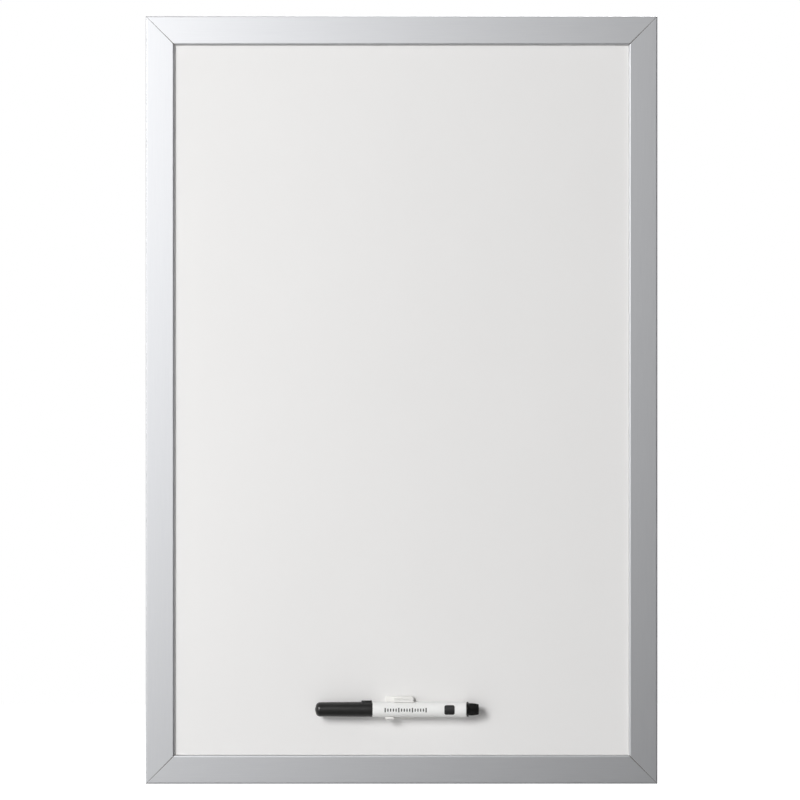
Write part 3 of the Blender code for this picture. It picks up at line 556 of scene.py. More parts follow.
def glue_section():
    wide, deep, rebate = FACE_WIDTH - GLUE_INSET, RAIL_DEPTH - GLUE_INSET, BACK_WIDTH - GLUE_INSET
    lip = LIP_THICKNESS - GLUE_INSET
    outline = face_outline(GLUE_INSET, wide, OUTER_ROUNDING, OUTER_ROUNDING)
    return outline + [(wide, lip), (rebate, lip), (rebate, deep), (GLUE_INSET, deep)]


def glue_slab(x, z, right, up):
    """The slab on the diagonal that leaves a corner in these directions."""
    def on_diagonal(inwards, back, offset):
        return (x + right * (inwards + offset), FACE_Y + back, z + up * (inwards - offset))

    return prism(glue_section(), -GLUE_HALF, GLUE_HALF, on_diagonal)


slabs = [glue_slab(x, z, right, up) for z, up in ((TOP_Z, -1), (BOTTOM_Z, 1))
         for x, right in ((LEFT_X, 1), (RIGHT_X, -1))]
piece("glued_mitres", together("glued_mitres", slabs), mitre_glue, "board_body", "softboard")

# %% [markdown]
# ## Turned bodies and copies
# Small hardware is round and repeats. A profile turned about an axis gives the body, and one tree
# puts a copy at every point of its base mesh, turned by an attribute of that point. The tree keeps
# one mesh and a list of places, as a parts list does.

# %% Turned bodies
TURNED_STEPS = 96


def turned(profile, steps=TURNED_STEPS, closed=False, axis=(AXIS_Y, AXIS_Z)):
    """A body of revolution along X, from its profile's points (place along X, radius)."""
    shape = bmesh.new()
    rings = []
    for along, radius in held(profile, closed):
        turns = [2 * pi * step / steps for step in range(steps if radius else 1)]
        spots = [(along, axis[0] - radius * cos(turn), axis[1] + radius * sin(turn)) for turn in turns]
        rings.append([shape.verts.new(spot) for spot in spots])
    pairs = list(zip(rings, rings[1:]))
    if closed:
        pairs.append((rings[-1], rings[0]))
    for one, other in pairs:
        for step in range(steps):
            after = (step + 1) % steps
            corners = [one[step % len(one)], one[after % len(one)],
                       other[after % len(other)], other[step % len(other)]]
            shape.faces.new(list(dict.fromkeys(corners)))
    return shape


def turned_back(name, profile, steps=TURNED_STEPS):
    """A mesh turned about Y, from its profile's points (place along Y, radius)."""
    shape = turned(profile, steps, axis=(0, 0))
    bmesh.ops.rotate(shape, verts=shape.verts, matrix=Matrix.Rotation(pi / 2, 3, "Z"))
    return mesh_from(name, shape)


print("A turned body has", TURNED_STEPS, "sides")

# %% Copies of a body at points
def make_copies_tree():
    tree, given, end_node = new_tree("copies_at_points", Body="Object", Material="Material")
    body = add(tree, "GeometryNodeObjectInfo", {"Object": given["Body"], "As Instance": True})
    turn = add(tree, COMBINE, {1: add(tree, NAMED, {"Name": "turn"}, data_type="FLOAT")})
    copies = add(tree, "GeometryNodeInstanceOnPoints", {
        "Points": given["Geometry"], "Instance": body.outputs["Geometry"], "Rotation": turn})
    end_tree(tree, copies, given["Material"], end_node)
    return tree


def repeated(name, body_mesh, spots, material, slot, nodes):
    """A piece of the board: a body repeated at (place, turn about Y) spots."""
    base = bpy.data.meshes.new(name + "_points")
    base.from_pydata([spot for spot, _ in spots], [], [])
    turns = base.attributes.new("turn", "FLOAT", "POINT")
    for at, (_, turn) in enumerate(spots):
        turns.data[at].value = turn
    body = linked(name + "_body", body_mesh)
    mesh = grown(name, copies_tree, base, Body=body, Material=material)
    bpy.data.objects.remove(body)
    piece(name, mesh, material, "board_body", slot, *nodes)


def spots_on(nodes, turn_step=0.0):
    """Where these nodes are, each turned a step more than the last."""
    middles = [sum(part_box(node), Vector()) / 2 for node in nodes]
    return [((middle.x, 0, middle.z), turn_step * at) for at, middle in enumerate(middles)]


copies_tree = make_copies_tree()
print("The copies tree has", len(copies_tree.nodes), "nodes")

# %% [markdown]
# ## Bumpers
# A bumper is a low disc of soft rubber, glued on by its foot, that keeps the board off the wall.
# The rim of its other face is well rounded.

# %% Bumpers
BUMPERS = [f"bumper_{row}_{side}" for row in ("top", "bottom") for side in ("left", "right")]
bumper_low, bumper_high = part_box(BUMPERS[0])
BUMPER_RADIUS, BUMPER_ROUNDING = (bumper_high.x - bumper_low.x) / 2, 0.0009

rim = arc((-BUMPER_ROUNDING, BUMPER_RADIUS - BUMPER_ROUNDING), BUMPER_ROUNDING, pi / 2, 0)
bumper = turned_back("bumper", [(bumper_low.y, 0), (bumper_low.y, BUMPER_RADIUS), *rim, (0, 0)])
repeated("rubber_bumpers", bumper, spots_on(BUMPERS), rubber, "bumper_rubber", BUMPERS)

# %% [markdown]
# ## Screws
# Small pan-headed screws with a cross recess hold the hangers. A head's section lies between a
# round and a square arch. A punch makes the recess, and here a Boolean cuts two crossed flutes that
# narrow towards the bottom, before the copies are made. No two screws stop at the same angle.

# %% Cut or join with a Boolean
def carved(mesh, other, operation):
    """The plain mesh left by an exact Boolean of two closed meshes."""
    body, cutter = linked("body", mesh), linked("cutter", other)
    modifier = body.modifiers.new("Carve", "BOOLEAN")
    modifier.operation, modifier.solver, modifier.object = operation, "EXACT", cutter
    result = applied(body)
    bpy.data.objects.remove(cutter)
    return result


print("Ready to carve")

# %% Screws
SCREWS = [f"hanger_{way}_screw_{side}" for way in ("portrait", "landscape") for side in ("left", "right")]
screw_low, screw_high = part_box(SCREWS[0])
HEAD_RADIUS, HEAD_HEIGHT, HEAD_ARCH = (screw_high.x - screw_low.x) / 2, 0.0011, 0.8
SHANK_RADIUS, TIP_LENGTH = 0.0011, 0.0025
RECESS_WIDTH, RECESS_SPAN, RECESS_DEPTH, RECESS_TAPER = 0.00075, 0.0028, 0.0008, 0.72
SCREW_TURN_STEP = 0.4


def flute_mesh(turn):
    """One flute of the recess, as deep below the head's top as it stands above it."""
    low, high = screw_high.y - RECESS_DEPTH, screw_high.y + RECESS_DEPTH
    wide, narrow = RECESS_SPAN / 2, RECESS_SPAN / 2 * RECESS_TAPER
    outline = [(narrow, low), (-narrow, low), (-wide, high), (wide, high)]
    shape = prism(outline, -RECESS_WIDTH / 2, RECESS_WIDTH / 2, lambda x, y, z: (x, y, z))
    bmesh.ops.rotate(shape, verts=shape.verts, matrix=Matrix.Rotation(turn, 3, "Y"))
    return mesh_from("flute", shape)


def screw_mesh():
    """A pan-headed screw about Y, its head's top at the height of the frame's screws."""
    top, under, tip = screw_high.y, screw_high.y - HEAD_HEIGHT, screw_low.y
    profile = [(tip, 0), (tip + TIP_LENGTH, SHANK_RADIUS), (under, SHANK_RADIUS), (under, HEAD_RADIUS)]
    for step in range(1, SECTION_STEPS):
        turn = step * pi / 2 / SECTION_STEPS
        profile.append((under + HEAD_HEIGHT * sin(turn) ** HEAD_ARCH, HEAD_RADIUS * cos(turn) ** HEAD_ARCH))
    body = turned_back("screw", profile + [(top, 0)], TURNED_STEPS // 2)
    for turn in (0, pi / 2):
        body = carved(body, flute_mesh(turn), "DIFFERENCE")
    return body


repeated("hanger_screws", screw_mesh(), spots_on(SCREWS, SCREW_TURN_STEP), screw_zinc, "screw_steel", SCREWS)

# %% [markdown]
# ## V-nails across the mitres
# Two V-shaped nails are pressed into the back of each mitre and pull it tight. Only their upper
# edges show in the bare MDF, so each copy is a bent strip of steel that ends a hair above the back.

# %% V-nails
NAILS = [f"v_nail_{row}_{side}_{place}" for row in ("top", "bottom") for side in ("left", "right")
         for place in ("outer", "inner")]
NAIL_LEG, NAIL_THICKNESS, NAIL_HEIGHT, NAIL_PROUD = 0.0045, 0.0005, 0.0080, 0.00004
NAIL_HALF_ANGLE = radians(50)
NAIL_SHARES = (0.27, 0.55)
# Each corner's diagonal into the frame, in eighths of a turn.
CORNER_EIGHTHS = ((LEFT_X, TOP_Z, 1), (RIGHT_X, TOP_Z, 3), (RIGHT_X, BOTTOM_Z, 5), (LEFT_X, BOTTOM_Z, 7))


def nail_mesh():
    """The V of a nail in X and Z, its bend at the origin and its legs towards +X."""
    half = NAIL_THICKNESS / 2
    along = Vector((cos(NAIL_HALF_ANGLE), sin(NAIL_HALF_ANGLE)))
    across = Vector((-along.y, along.x)) * half
    bend = half / sin(NAIL_HALF_ANGLE)
    outer, inner = along * NAIL_LEG + across, along * NAIL_LEG - across
    outline = [(-bend, 0), tuple(outer), tuple(inner), (bend, 0), (inner.x, -inner.y), (outer.x, -outer.y)]
    return mesh_from("v_nail", prism(outline, BACK_Y - NAIL_HEIGHT, BACK_Y + NAIL_PROUD))


def nail_spots():
    """Each bend lies on its mitre's line."""
    spots = []
    for x, z, eighths in CORNER_EIGHTHS:
        turn = eighths * pi / 4
        for share in NAIL_SHARES:
            along = BACK_WIDTH * sqrt(2) * share
            spots.append(((x + along * cos(turn), 0, z - along * sin(turn)), turn))
    return spots


repeated("mitre_v_nails", nail_mesh(), nail_spots(), zinc, "zinc_plated_steel", NAILS)

# %% [markdown]
# ## The magnetic clip
# The cradle is one moulding: a flat base over its magnet, and two staggered fingers that wrap the
# barrel a little past its middle, so that it snaps in. Plastic flows round corners, so every edge
# and root is soft. Plain solids that overlap are welded by a fine voxel remesh and smoothed.
# Bevels would have to be chosen edge by edge, and fail where a finger runs into the base.

# %% The clip's base and fingers
clip_low, clip_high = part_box("pen_clip")
CRADLE_RADIUS = BARREL_RADIUS + SEAT_GAP
CLIP_FRONT_Y = AXIS_Y + CRADLE_RADIUS
CLIP_CORNER, FINGER_THICKNESS, FINGER_END_INSET = 0.0018, 0.0019, 0.0003
FINGER_WRAP, FINGER_ROOT = radians(24), radians(12)
UPPER_FINGER_WIDTH, LOWER_FINGER_WIDTH = 0.0153, 0.0066
FINGER_STEPS = 48


def rounded(middle, width, height, corner, steps=SECTION_STEPS):
    """Outline of a rectangle with round corners."""
    across, up = width / 2 - corner, height / 2 - corner
    outline = []
    for quarter, (x, z) in enumerate(((across, up), (-across, up), (-across, -up), (across, -up))):
        start = quarter * pi / 2
        outline += arc((middle[0] + x, middle[1] + z), corner, start, start + pi / 2, steps)
    return outline


def finger(upwards, left, right):
    """A finger round the marker's axis, towards the top or the bottom."""
    outer = CRADLE_RADIUS + FINGER_THICKNESS
    middle, tip = CRADLE_RADIUS + FINGER_THICKNESS / 2, pi / 2 + FINGER_WRAP
    outline = arc((0, 0), CRADLE_RADIUS, FINGER_ROOT, tip, FINGER_STEPS)
    outline += arc((middle * cos(tip), middle * sin(tip)), FINGER_THICKNESS / 2, tip + pi, tip)[1:-1]
    outline += arc((0, 0), outer, tip, FINGER_ROOT, FINGER_STEPS)
    return prism(outline, left, right, lambda back, up, x: (x, AXIS_Y + back, AXIS_Z + upwards * up))


def clip_solids():
    """The base and both fingers, which overlap."""
    middle, size = (clip_low + clip_high) / 2, clip_high - clip_low
    base = rounded((middle.x, middle.z), size.x, size.z, CLIP_CORNER)
    left, right = clip_low.x + FINGER_END_INSET, clip_high.x - FINGER_END_INSET
    return [prism(base, CLIP_FRONT_Y, clip_high.y), finger(1, right - UPPER_FINGER_WIDTH, right),
            finger(-1, left, left + LOWER_FINGER_WIDTH)]


print(f"The clip's base is {(clip_high.y - CLIP_FRONT_Y) * 1000:.2f} mm thick")

# %% Weld the clip and cut the magnet's seat
CLIP_VOXEL = 0.00022
SOFTENING, SOFTENING_ROUNDS = 0.5, 8


def moulded(name, shapes):
    """Overlapping solids welded by a voxel remesh and softened."""
    body = linked(name, together(name, shapes))
    weld = body.modifiers.new("Weld", "REMESH")
    weld.mode, weld.voxel_size = "VOXEL", CLIP_VOXEL
    soften = body.modifiers.new("Soften", "SMOOTH")
    soften.factor, soften.iterations = SOFTENING, SOFTENING_ROUNDS
    return applied(body)


def magnet_seat():
    """The round pocket in the clip's back, with room all round its magnet."""
    low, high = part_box("clip_magnet")
    radius, floor = (high.x - low.x) / 2 + SEAT_GAP, low.y - SEAT_GAP
    seat = turned_back("magnet_seat", [(floor, 0), (floor, radius), (0, radius), (0, 0)])
    place, _ = spots_on(["clip_magnet"])[0]
    seat.transform(Matrix.Translation(place))
    return seat


clip_mesh = carved(moulded("clip", clip_solids()), magnet_seat(), "DIFFERENCE")
piece("moulded_clip", clip_mesh, clip_white, "clip_body", "clip_white_plastic", "pen_clip")

# %% [markdown]
# ## Barrel, holder and nib
# These are round, so each is a profile turned about the marker's axis, in enough steps to stay
# round close up. The barrel is an open tube with soft rims. The holder grips the nib and carries
# the small bead that the cap snaps over. The nib ends in half an ellipse, as writing wears it.

# %% Barrel
RIM_ROUNDING, RIM_STEPS = 0.00030, SECTION_STEPS // 2


def soft_rim(x, radius, facing):
    """A rounded edge, where a cylinder ends and faces left or right."""
    start, end = (pi, pi / 2) if facing == "left" else (pi / 2, 0)
    inside = RIM_ROUNDING if facing == "left" else -RIM_ROUNDING
    return arc((x + inside, radius - RIM_ROUNDING), RIM_ROUNDING, start, end, RIM_STEPS)


barrel_profile = [(BARREL_START, BORE_RADIUS), *soft_rim(BARREL_START, BARREL_RADIUS, "left"),
                  *soft_rim(BARREL_END, BARREL_RADIUS, "right"), (BARREL_END, BORE_RADIUS)]
barrel = mesh_from("barrel", turned(barrel_profile, closed=True))
piece("turned_barrel", barrel, barrel_white, "marker_body", "barrel_white_plastic", "marker_barrel")

# %% Holder
holder_low, holder_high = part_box("nib_holder")
nib_low, nib_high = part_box("marker_nib")
NIB_RADIUS, NOSE_WALL = (nib_high.z - nib_low.z) / 2, 0.0005
HOLDER_BORE = NIB_RADIUS + SEAT_GAP
NOSE_RADIUS = HOLDER_BORE + NOSE_WALL
COLLAR_LENGTH, COLLAR_RADIUS = 0.0090, BORE_RADIUS - SEAT_GAP
SHOULDER_LENGTH, SHOULDER_STEP, SHOULDER_SLOPE = 0.0012, 0.0009, 0.8 * pi
SHOULDER_RADIUS = COLLAR_RADIUS - SHOULDER_STEP
BEAD_RADIUS, BEAD_FROM_BARREL, BEAD_HALF = AXIS_Z - holder_low.z, 0.0050, 0.0006
EDGE, SHOULDER_STEPS, NOSE_STEPS = 0.0002, 3, 4


def holder_mesh():
    """A tube with a collar, a bead on it, a shoulder and a nose that tapers."""
    shoulder, bead = BARREL_START - COLLAR_LENGTH, BARREL_START - BEAD_FROM_BARREL
    profile = [(holder_high.x, HOLDER_BORE), (holder_high.x, COLLAR_RADIUS)]
    for step in range(SECTION_STEPS + 1):
        share = step / SECTION_STEPS
        lift = (BEAD_RADIUS - COLLAR_RADIUS) * sin(pi * share)
        profile.append((bead + BEAD_HALF * (1 - 2 * share), COLLAR_RADIUS + lift))
    profile += arc((shoulder + EDGE, COLLAR_RADIUS - EDGE), EDGE, pi / 2, SHOULDER_SLOPE, SHOULDER_STEPS)
    profile += [(shoulder - SHOULDER_LENGTH, SHOULDER_RADIUS)]
    profile += arc((holder_low.x + EDGE, NOSE_RADIUS - EDGE), EDGE, pi / 2, pi, NOSE_STEPS)
    profile += [(holder_low.x, HOLDER_BORE)]
    return mesh_from("holder", turned(profile, closed=True))


piece("turned_nib_holder", holder_mesh(), black_plastic, "marker_body", "black_plastic", "nib_holder")

# %% Nib
NIB_POINT, NIB_STEPS = 1.5 * NIB_RADIUS, 2 * SECTION_STEPS
nib_profile = [(nib_low.x, 0)]
for step in range(1, NIB_STEPS + 1):
    turn = step * pi / 2 / NIB_STEPS
    nib_profile.append((nib_low.x + NIB_POINT * (1 - cos(turn)), NIB_RADIUS * sin(turn)))
nib_profile += [(nib_high.x, NIB_RADIUS), (nib_high.x, 0)]
piece("bullet_nib", mesh_from("nib", turned(nib_profile)), nib_felt, "marker_body", "nib_felt", "marker_nib")

# %% [markdown]
# ## The cap
# The cap tapers a little towards its closed end, which is rounded and bulges slightly, and a small
# lug at its mouth stops it from rolling. The lug is a bevelled block, joined by a Boolean so that
# the cap stays one closed skin. Inside, the bore narrows to a seal.

# %% Cap
cap_low, cap_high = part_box("marker_cap")
CAP_MOUTH_RADIUS, CAP_TAPER = AXIS_Z - cap_low.z, 0.00035
CAP_WALL, CAP_END_WALL = 0.0010, 0.0014
CAP_BORE = CAP_MOUTH_RADIUS - CAP_WALL
SEAL_CLEARANCE, SEAL_FROM_COLLAR = 0.00035, 0.0018
CAP_SEAL = SHOULDER_RADIUS + SEAL_CLEARANCE
CAP_END_ROUNDING, CAP_END_BULGE = 0.0036, 0.0005


def cap_mesh():
    """The cap, from the middle of its closed end round its mouth and back inside."""
    rounding, rim = CAP_END_ROUNDING, cap_low.x + CAP_END_BULGE
    flat = CAP_MOUTH_RADIUS - CAP_TAPER - rounding
    shares = [step / SECTION_STEPS for step in range(SECTION_STEPS)]
    profile = [(cap_low.x + CAP_END_BULGE * share ** 2, flat * share) for share in shares]
    profile += arc((rim + rounding, flat), rounding, pi, pi / 2, 2 * SECTION_STEPS)
    profile += soft_rim(cap_high.x, CAP_MOUTH_RADIUS, "right")
    seal = BARREL_START - COLLAR_LENGTH - SEAL_FROM_COLLAR
    floor = rim + CAP_END_WALL
    profile += [(cap_high.x, CAP_BORE), (seal, CAP_BORE), (seal - CAP_BORE + CAP_SEAL, CAP_SEAL)]
    profile += [(floor, CAP_SEAL), (floor, 0)]
    return mesh_from("cap", turned(profile))


print(f"The cap's bore is {CAP_BORE * 2000:.1f} mm wide")

# %% The lug on the cap
LUG_LENGTH, LUG_WIDTH, LUG_FROM_MOUTH = 0.0084, 0.0036, 0.0003
LUG_BEVEL, LUG_STEPS = 0.00035, 4


def lug_mesh():
    """A block with a sloped end and rounded upper edges, rooted in the cap's wall."""
    right, half = cap_high.x - LUG_FROM_MOUTH, LUG_WIDTH / 2
    left, root, top = right - LUG_LENGTH, AXIS_Z + CAP_BORE + CAP_WALL / 2, cap_high.z
    outline = [(left, root), (right, root), (right, top), (left + LUG_BEVEL, top)]
    shape = prism(outline, AXIS_Y - half, AXIS_Y + half)
    upper = [edge for edge in shape.edges if max(vert.co.z for vert in edge.verts) == top]
    bmesh.ops.bevel(shape, geom=upper, offset=LUG_BEVEL, segments=LUG_STEPS, profile=0.5, affect="EDGES")
    return mesh_from("lug", shape)


capped = carved(cap_mesh(), lug_mesh(), "UNION")
piece("capped_lug_cap", capped, black_plastic, "cap_body", "black_plastic", "marker_cap")

# %% [markdown]
# ## The end plug
# The plug's body carries fine lengthwise ribs, so that the fingers can pull it. Ribs repeat round
# the axis, so Geometry Nodes press them in: each point knows its angle, and Set Position moves it
# inwards by a rounded wave that dies out at both ends of the body.

# %% The plug's turned body
plug_low, plug_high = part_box("marker_end_plug")
FLANGE_X, FLANGE_LENGTH = BARREL_END + SEAT_GAP, 0.0015
FLANGE_RADIUS, FLANGE_STEP = AXIS_Z - plug_low.z, 0.00105
BODY_X = FLANGE_X + FLANGE_LENGTH
PLUG_ROOT_RADIUS, PLUG_TAPER = FLANGE_RADIUS - FLANGE_STEP, 0.0007
PLUG_BULGE, PLUG_TIP_ROUNDING = 0.00025, 0.0007
PLUG_STEPS = 288


def plug_mesh():
    """A stem in the barrel, a flange on its end and a body that tapers and bulges."""
    soft, tip = PLUG_TIP_ROUNDING, PLUG_ROOT_RADIUS - PLUG_TAPER
    profile = [(plug_low.x, 0), (plug_low.x, COLLAR_RADIUS), (FLANGE_X, COLLAR_RADIUS)]
    profile += soft_rim(FLANGE_X, FLANGE_RADIUS, "left") + soft_rim(BODY_X, FLANGE_RADIUS, "right")
    for step in range(2 * SECTION_STEPS + 1):
        share = step / 2 / SECTION_STEPS
        along = BODY_X + (plug_high.x - soft - BODY_X) * share
        profile.append((along, PLUG_ROOT_RADIUS - PLUG_TAPER * share + PLUG_BULGE * sin(pi * share)))
    profile += arc((plug_high.x - soft, tip - soft), soft, pi / 2, 0)[1:]
    return mesh_from("plug", turned(profile + [(plug_high.x, 0)], PLUG_STEPS))


print(f"The plug's body is {(plug_high.x - BODY_X) * 1000:.1f} mm long")

# %% Press in the ribs
RIB_COUNT = 36.0
RIB_DEPTH, RIB_FADE = 0.00022, 0.0008


def make_rib_tree():
    tree, given, end_node = new_tree("pressed_ribs", Ribs="Float", Depth="Float", Start="Float",
                                     End="Float", Fade="Float", Axis="Vector", Material="Material")
    place = add(tree, POSITION)
    x = add(tree, SEPARATE, [place])
    out = add(tree, VECTOR, [place, given["Axis"]], operation="SUBTRACT")
    out = add(tree, VECTOR, [out, (0.0, 1.0, 1.0)], operation="MULTIPLY")
    _, y, z = add(tree, SEPARATE, [out]).outputs
    turn = add(tree, MATH, [z, y], operation="ARCTAN2")
    phase = add(tree, MATH, [turn, given["Ribs"]], operation="MULTIPLY")
    wave = add(tree, MATH, [phase], operation="COSINE")
    wave = add(tree, RANGE, [wave, -1.0, 1.0, 0.0, -1.0])
    # The wave dies out over the fade's length at either end of the body.
    after = add(tree, MATH, [x, given["Start"]], operation="SUBTRACT")
    before = add(tree, MATH, [given["End"], x], operation="SUBTRACT")
    near = add(tree, MATH, [after, before], operation="MINIMUM")
    fade = add(tree, MATH, [near, given["Fade"]], operation="DIVIDE", use_clamp=True)
    depth = add(tree, MATH, [wave, given["Depth"]], operation="MULTIPLY")
    inward = add(tree, MATH, [depth, fade], operation="MULTIPLY")
    way = add(tree, VECTOR, [out], operation="NORMALIZE")
    shift = add(tree, VECTOR, {0: way, "Scale": inward}, operation="SCALE")
    pressed = add(tree, "GeometryNodeSetPosition", {"Geometry": given["Geometry"], "Offset": shift})
    end_tree(tree, pressed, given["Material"], end_node)
    return tree


ribbed = grown("ribbed_end_plug", make_rib_tree(), plug_mesh(), Ribs=RIB_COUNT, Depth=RIB_DEPTH, Start=BODY_X,
               End=plug_high.x, Fade=RIB_FADE, Axis=(0.0, AXIS_Y, AXIS_Z), Material=gloss_black)
piece("ribbed_end_plug", ribbed, gloss_black, "marker_body", "black_plastic", "marker_end_plug")

# %% [markdown]
# ## Generic marks on the barrel
# The barrel has a pad-printed band, which holds only plain marks here: a row of strokes like a
# small scale, every fifth one longer, and a square with round corners. Ink is a hair-thin layer, so
# the tree repeats one stroke at the points of a row, adds the square, and bends the flat print
# round the barrel: height becomes an angle, and depth a distance from the axis.

# %% The flat marks
STROKE_WIDTH, STROKE_HEIGHT, STROKE_CUTS = 0.00090, 0.0023, 5
SQUARE_X, SQUARE_SIZE, SQUARE_CORNER, SQUARE_CUTS = 0.0372, 0.0080, 0.0016, 24
INK_THICKNESS = 0.00003


def flat_mark(name, outline, cuts):
    """A flat mark of ink about y = 0, cut across so that it can bend round the barrel."""
    shape = bmesh.new()
    shape.faces.new([shape.verts.new((x, -INK_THICKNESS, z)) for x, z in outline])
    low, high = min(z for _, z in outline), max(z for _, z in outline)
    for cut in range(1, cuts):
        height = low + (high - low) * cut / cuts
        geometry = shape.verts[:] + shape.edges[:] + shape.faces[:]
        bmesh.ops.bisect_plane(shape, geom=geometry, plane_co=(0, 0, height), plane_no=(0, 0, 1))
    swept = bmesh.ops.extrude_face_region(shape, geom=shape.faces[:])
    rear = [item for item in swept["geom"] if isinstance(item, bmesh.types.BMVert)]
    bmesh.ops.translate(shape, verts=rear, vec=(0, 2 * INK_THICKNESS, 0))
    return mesh_from(name, shape)


half, tall = STROKE_WIDTH / 2, STROKE_HEIGHT / 2
stroke_mesh = flat_mark("stroke", [(-half, -tall), (half, -tall), (half, tall), (-half, tall)], STROKE_CUTS)
square = rounded((SQUARE_X, 0), SQUARE_SIZE, SQUARE_SIZE, SQUARE_CORNER, SECTION_STEPS // 2)
square_mesh = flat_mark("square", square, SQUARE_CUTS)
print("A stroke has", len(stroke_mesh.polygons), "faces and the square", len(square_mesh.polygons))

# %% Repeat the strokes and bend the print
ROW_START, STROKE_PITCH, STROKE_COUNT = -0.0128, 0.00212, 16
LONG_EVERY, LONG_SHARE = 5, 1.5


def make_print_tree():
    tree, given, end_node = new_tree("bent_print", Stroke="Object", Start="Float", Pitch="Float", Count="Int",
                                     Long_Every="Int", Long_Share="Float", Radius="Float", Axis="Vector",
                                     Material="Material")
    stroke = add(tree, "GeometryNodeObjectInfo", {"Object": given["Stroke"]}).outputs["Geometry"]
    first, step = add(tree, COMBINE, [given["Start"]]), add(tree, COMBINE, [given["Pitch"]])
    row = add(tree, "GeometryNodeMeshLine", {
        "Count": given["Count"], "Start Location": first, "Offset": step})
    rest = add(tree, MATH, [add(tree, "GeometryNodeInputIndex"), given["Long_Every"]], operation="MODULO")
    long = add(tree, MATH, [rest, 0.5], operation="LESS_THAN")
    stretch = add(tree, RANGE, [long, 0.0, 1.0, 1.0, given["Long_Share"]])
    scale = add(tree, COMBINE, [1.0, 1.0, stretch])
    strokes = add(tree, "GeometryNodeInstanceOnPoints", {"Points": row, "Instance": stroke, "Scale": scale})
    join = add(tree, "GeometryNodeJoinGeometry", [add(tree, "GeometryNodeRealizeInstances", [strokes])])
    feed(join, [given["Geometry"]])
    # A point's height over the radius is its angle, and its depth shortens its radius.
    x, y, z = add(tree, SEPARATE, [add(tree, POSITION)]).outputs
    angle = add(tree, MATH, [z, given["Radius"]], operation="DIVIDE")
    front = add(tree, MATH, [y, given["Radius"]], operation="SUBTRACT")
    flat = add(tree, VECTOR, [add(tree, COMBINE, [x, front]), given["Axis"]], operation="ADD")
    spot = add(tree, "ShaderNodeVectorRotate", {"Vector": flat, "Center": given["Axis"], "Angle": angle},
               rotation_type="X_AXIS", invert=True)
    placed = add(tree, "GeometryNodeSetPosition", {"Geometry": join, "Position": spot})
    end_tree(tree, placed, given["Material"], end_node)
    return tree


stroke = linked("stroke", stroke_mesh)
marks = grown("barrel_print", make_print_tree(), square_mesh, Stroke=stroke, Start=ROW_START,
              Pitch=STROKE_PITCH, Count=STROKE_COUNT, Long_Every=LONG_EVERY, Long_Share=LONG_SHARE,
              Radius=BARREL_RADIUS, Axis=(0.0, AXIS_Y, AXIS_Z), Material=mark_grey)
bpy.data.objects.remove(stroke)
piece("barrel_print", marks, mark_grey, "marker_body", "black_plastic")

# %% [markdown]
# ## Finishes for the pieces that stay
# The sheet, the boards behind it, the hangers, the points, the magnet and the ink rod have the
# right shape in the construction model already, so they only get their materials.

# %% Dress the remaining pieces
KEPT = {
    "writing_sheet": white_lacquer,
    "core_board": softboard,
    "backing_sheet": grey_board,
    "hanger_portrait": zinc,
    "hanger_landscape": zinc,
    "clip_magnet": nickel,
    "ink_reservoir": rod_fibre,
}
KEPT.update({node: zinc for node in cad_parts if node.startswith("retaining_point")})
for node, material in KEPT.items():
    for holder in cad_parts[node].material_slots:
        holder.material = material
print("Dressed", len(KEPT), "pieces")

# %% [markdown]
# ## Camera and floor
# The camera looks straight at the board, from far enough that the rails' inner sides stay thin, and
# its lens fills the picture as in the photograph. The floor is a plain pale plane below the board.
# A glow that only the camera sees lifts it to white and leaves its shadow. It is left out of
# reflections, because the satin foil would show its edge as a band on the lower rail.

# %% Camera
SENSOR, CAMERA_DISTANCE = 36.0, 2.3
PICTURE_PIXELS, BOARD_PIXELS, BOARD_OFFSET_PIXELS = 800, 768.0, 1.65

picture_width = BOARD_HEIGHT * PICTURE_PIXELS / BOARD_PIXELS
offset = BOARD_OFFSET_PIXELS * picture_width / PICTURE_PIXELS
camera_data = bpy.data.cameras.new("camera")
camera_data.sensor_width = SENSOR
camera_data.lens = SENSOR * CAMERA_DISTANCE / picture_width
camera = linked("camera", camera_data)
camera.location = (MIDDLE_X - offset, FACE_Y - CAMERA_DISTANCE, MIDDLE_Z)
camera.rotation_euler = (pi / 2, 0, 0)
bpy.context.scene.camera = camera
print(f"The lens is {camera_data.lens:.1f} mm")

# %% Floor
FLOOR_DROP, FLOOR_REACH = 0.25, 3.0
FLOOR_ROUGHNESS, FLOOR_GLOW = 0.7, 0.80


def make_floor_finish():
    made, tree, shader = surface("pale_floor", FLOOR_ROUGHNESS)
    feed(shader, {"Base Color": linear("B4B4B4")})
    eye = add(tree, "ShaderNodeLightPath").outputs["Is Camera Ray"]
    strength = add(tree, MATH, [eye, FLOOR_GLOW], operation="MULTIPLY")
    glow = add(tree, "ShaderNodeEmission", {"Strength": strength})
    feed(tree.nodes["Material Output"], {"Surface": add(tree, "ShaderNodeAddShader", [shader, glow])})
    return made


plane = bmesh.new()
bmesh.ops.create_grid(plane, x_segments=1, y_segments=1, size=FLOOR_REACH)
bmesh.ops.translate(plane, verts=plane.verts, vec=(MIDDLE_X, 0, BOTTOM_Z - FLOOR_DROP))
floor = linked("floor", mesh_from("floor", plane))
floor.data.materials.append(make_floor_finish())
floor.visible_glossy = False
print("The floor is", FLOOR_DROP, "m below the board")

# %% [markdown]
# ## Light
# The key lamp, far away at the upper left, gives the foil its glow there and the marker its short
# shadow. The side panel is near, wide and weak, and carries the glow down the left rail. The back
# lamp only lets the back be looked at. A panel's glow is its brightness as a multiple of white, so
# a lamp can change size and look the same in a reflection. The camera sees a white world, which is
# only a weak fill on the board. In reflections it is white behind the board and dark in front, as
# in a studio, so the faces mirror the lamps and edges that turn away show as fine bright lines.

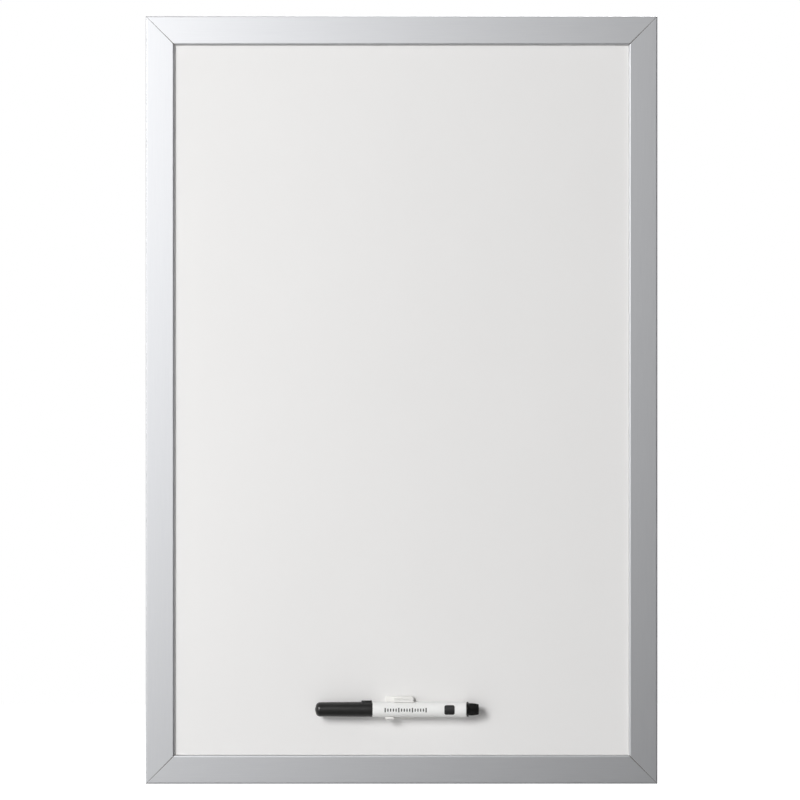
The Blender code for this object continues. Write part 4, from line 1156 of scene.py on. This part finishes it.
# %% Lamps
LAMPS = {
    "key_lamp": {"way": (-0.478, -0.810, 0.345), "distance": 3.5, "size": (1.15, 1.15), "glow": 19.6},
    "side_panel": {"way": (-0.590, -0.806, -0.040), "distance": 1.6, "size": (1.55, 0.9), "glow": 1.5},
    "back_lamp": {"way": (0.25, 1.0, 1.0), "distance": 2.5, "size": (1.2, 1.2), "glow": 12.0},
}


def add_lamp(name, way, distance, size, glow):
    """A soft panel that stands this way from the board's middle and faces it."""
    data = bpy.data.lights.new(name, "AREA")
    data.shape = "RECTANGLE"
    data.size, data.size_y = size
    data.energy = glow * pi * size[0] * size[1]
    lamp = linked(name, data)
    lamp.location = Vector((MIDDLE_X, FACE_Y, MIDDLE_Z)) + Vector(way).normalized() * distance
    lamp.rotation_euler = (-Vector(way)).to_track_quat("-Z", "Y").to_euler()
    lamp.visible_camera = False


for name, settings in LAMPS.items():
    add_lamp(name, **settings)
print("Lit by", *LAMPS)

# %% World
FILL_LEVEL, FRONT_REFLECTION = 0.12, 0.02
RAMP_START, RAMP_END = -0.3, 0.3


def make_world():
    """White to the camera, a weak fill on surfaces, and a ramp from front to back in reflections."""
    world = bpy.data.worlds.new("studio")
    world.use_nodes = True
    tree = world.node_tree
    path = add(tree, "ShaderNodeLightPath").outputs
    _, back, _ = add(tree, SEPARATE, [add(tree, COORDINATES).outputs["Generated"]]).outputs
    seen = add(tree, RANGE, [back, RAMP_START, RAMP_END, FRONT_REFLECTION, 1.0])
    mirror = add(tree, MATH, [path["Is Glossy Ray"], path["Is Transmission Ray"]], operation="MAXIMUM")
    level = add(tree, MIX, {0: mirror, LEVEL_A: FILL_LEVEL, LEVEL_B: seen})
    level = add(tree, MIX, {0: path["Is Camera Ray"], LEVEL_A: level, LEVEL_B: 1.0})
    feed(tree.nodes["Background"], {"Color": (1.0, 1.0, 1.0, 1.0), "Strength": level})
    return world


bpy.context.scene.world = make_world()
bpy.context.scene.view_settings.view_transform = "Standard"
print("The board is filled at", FILL_LEVEL, "of white")
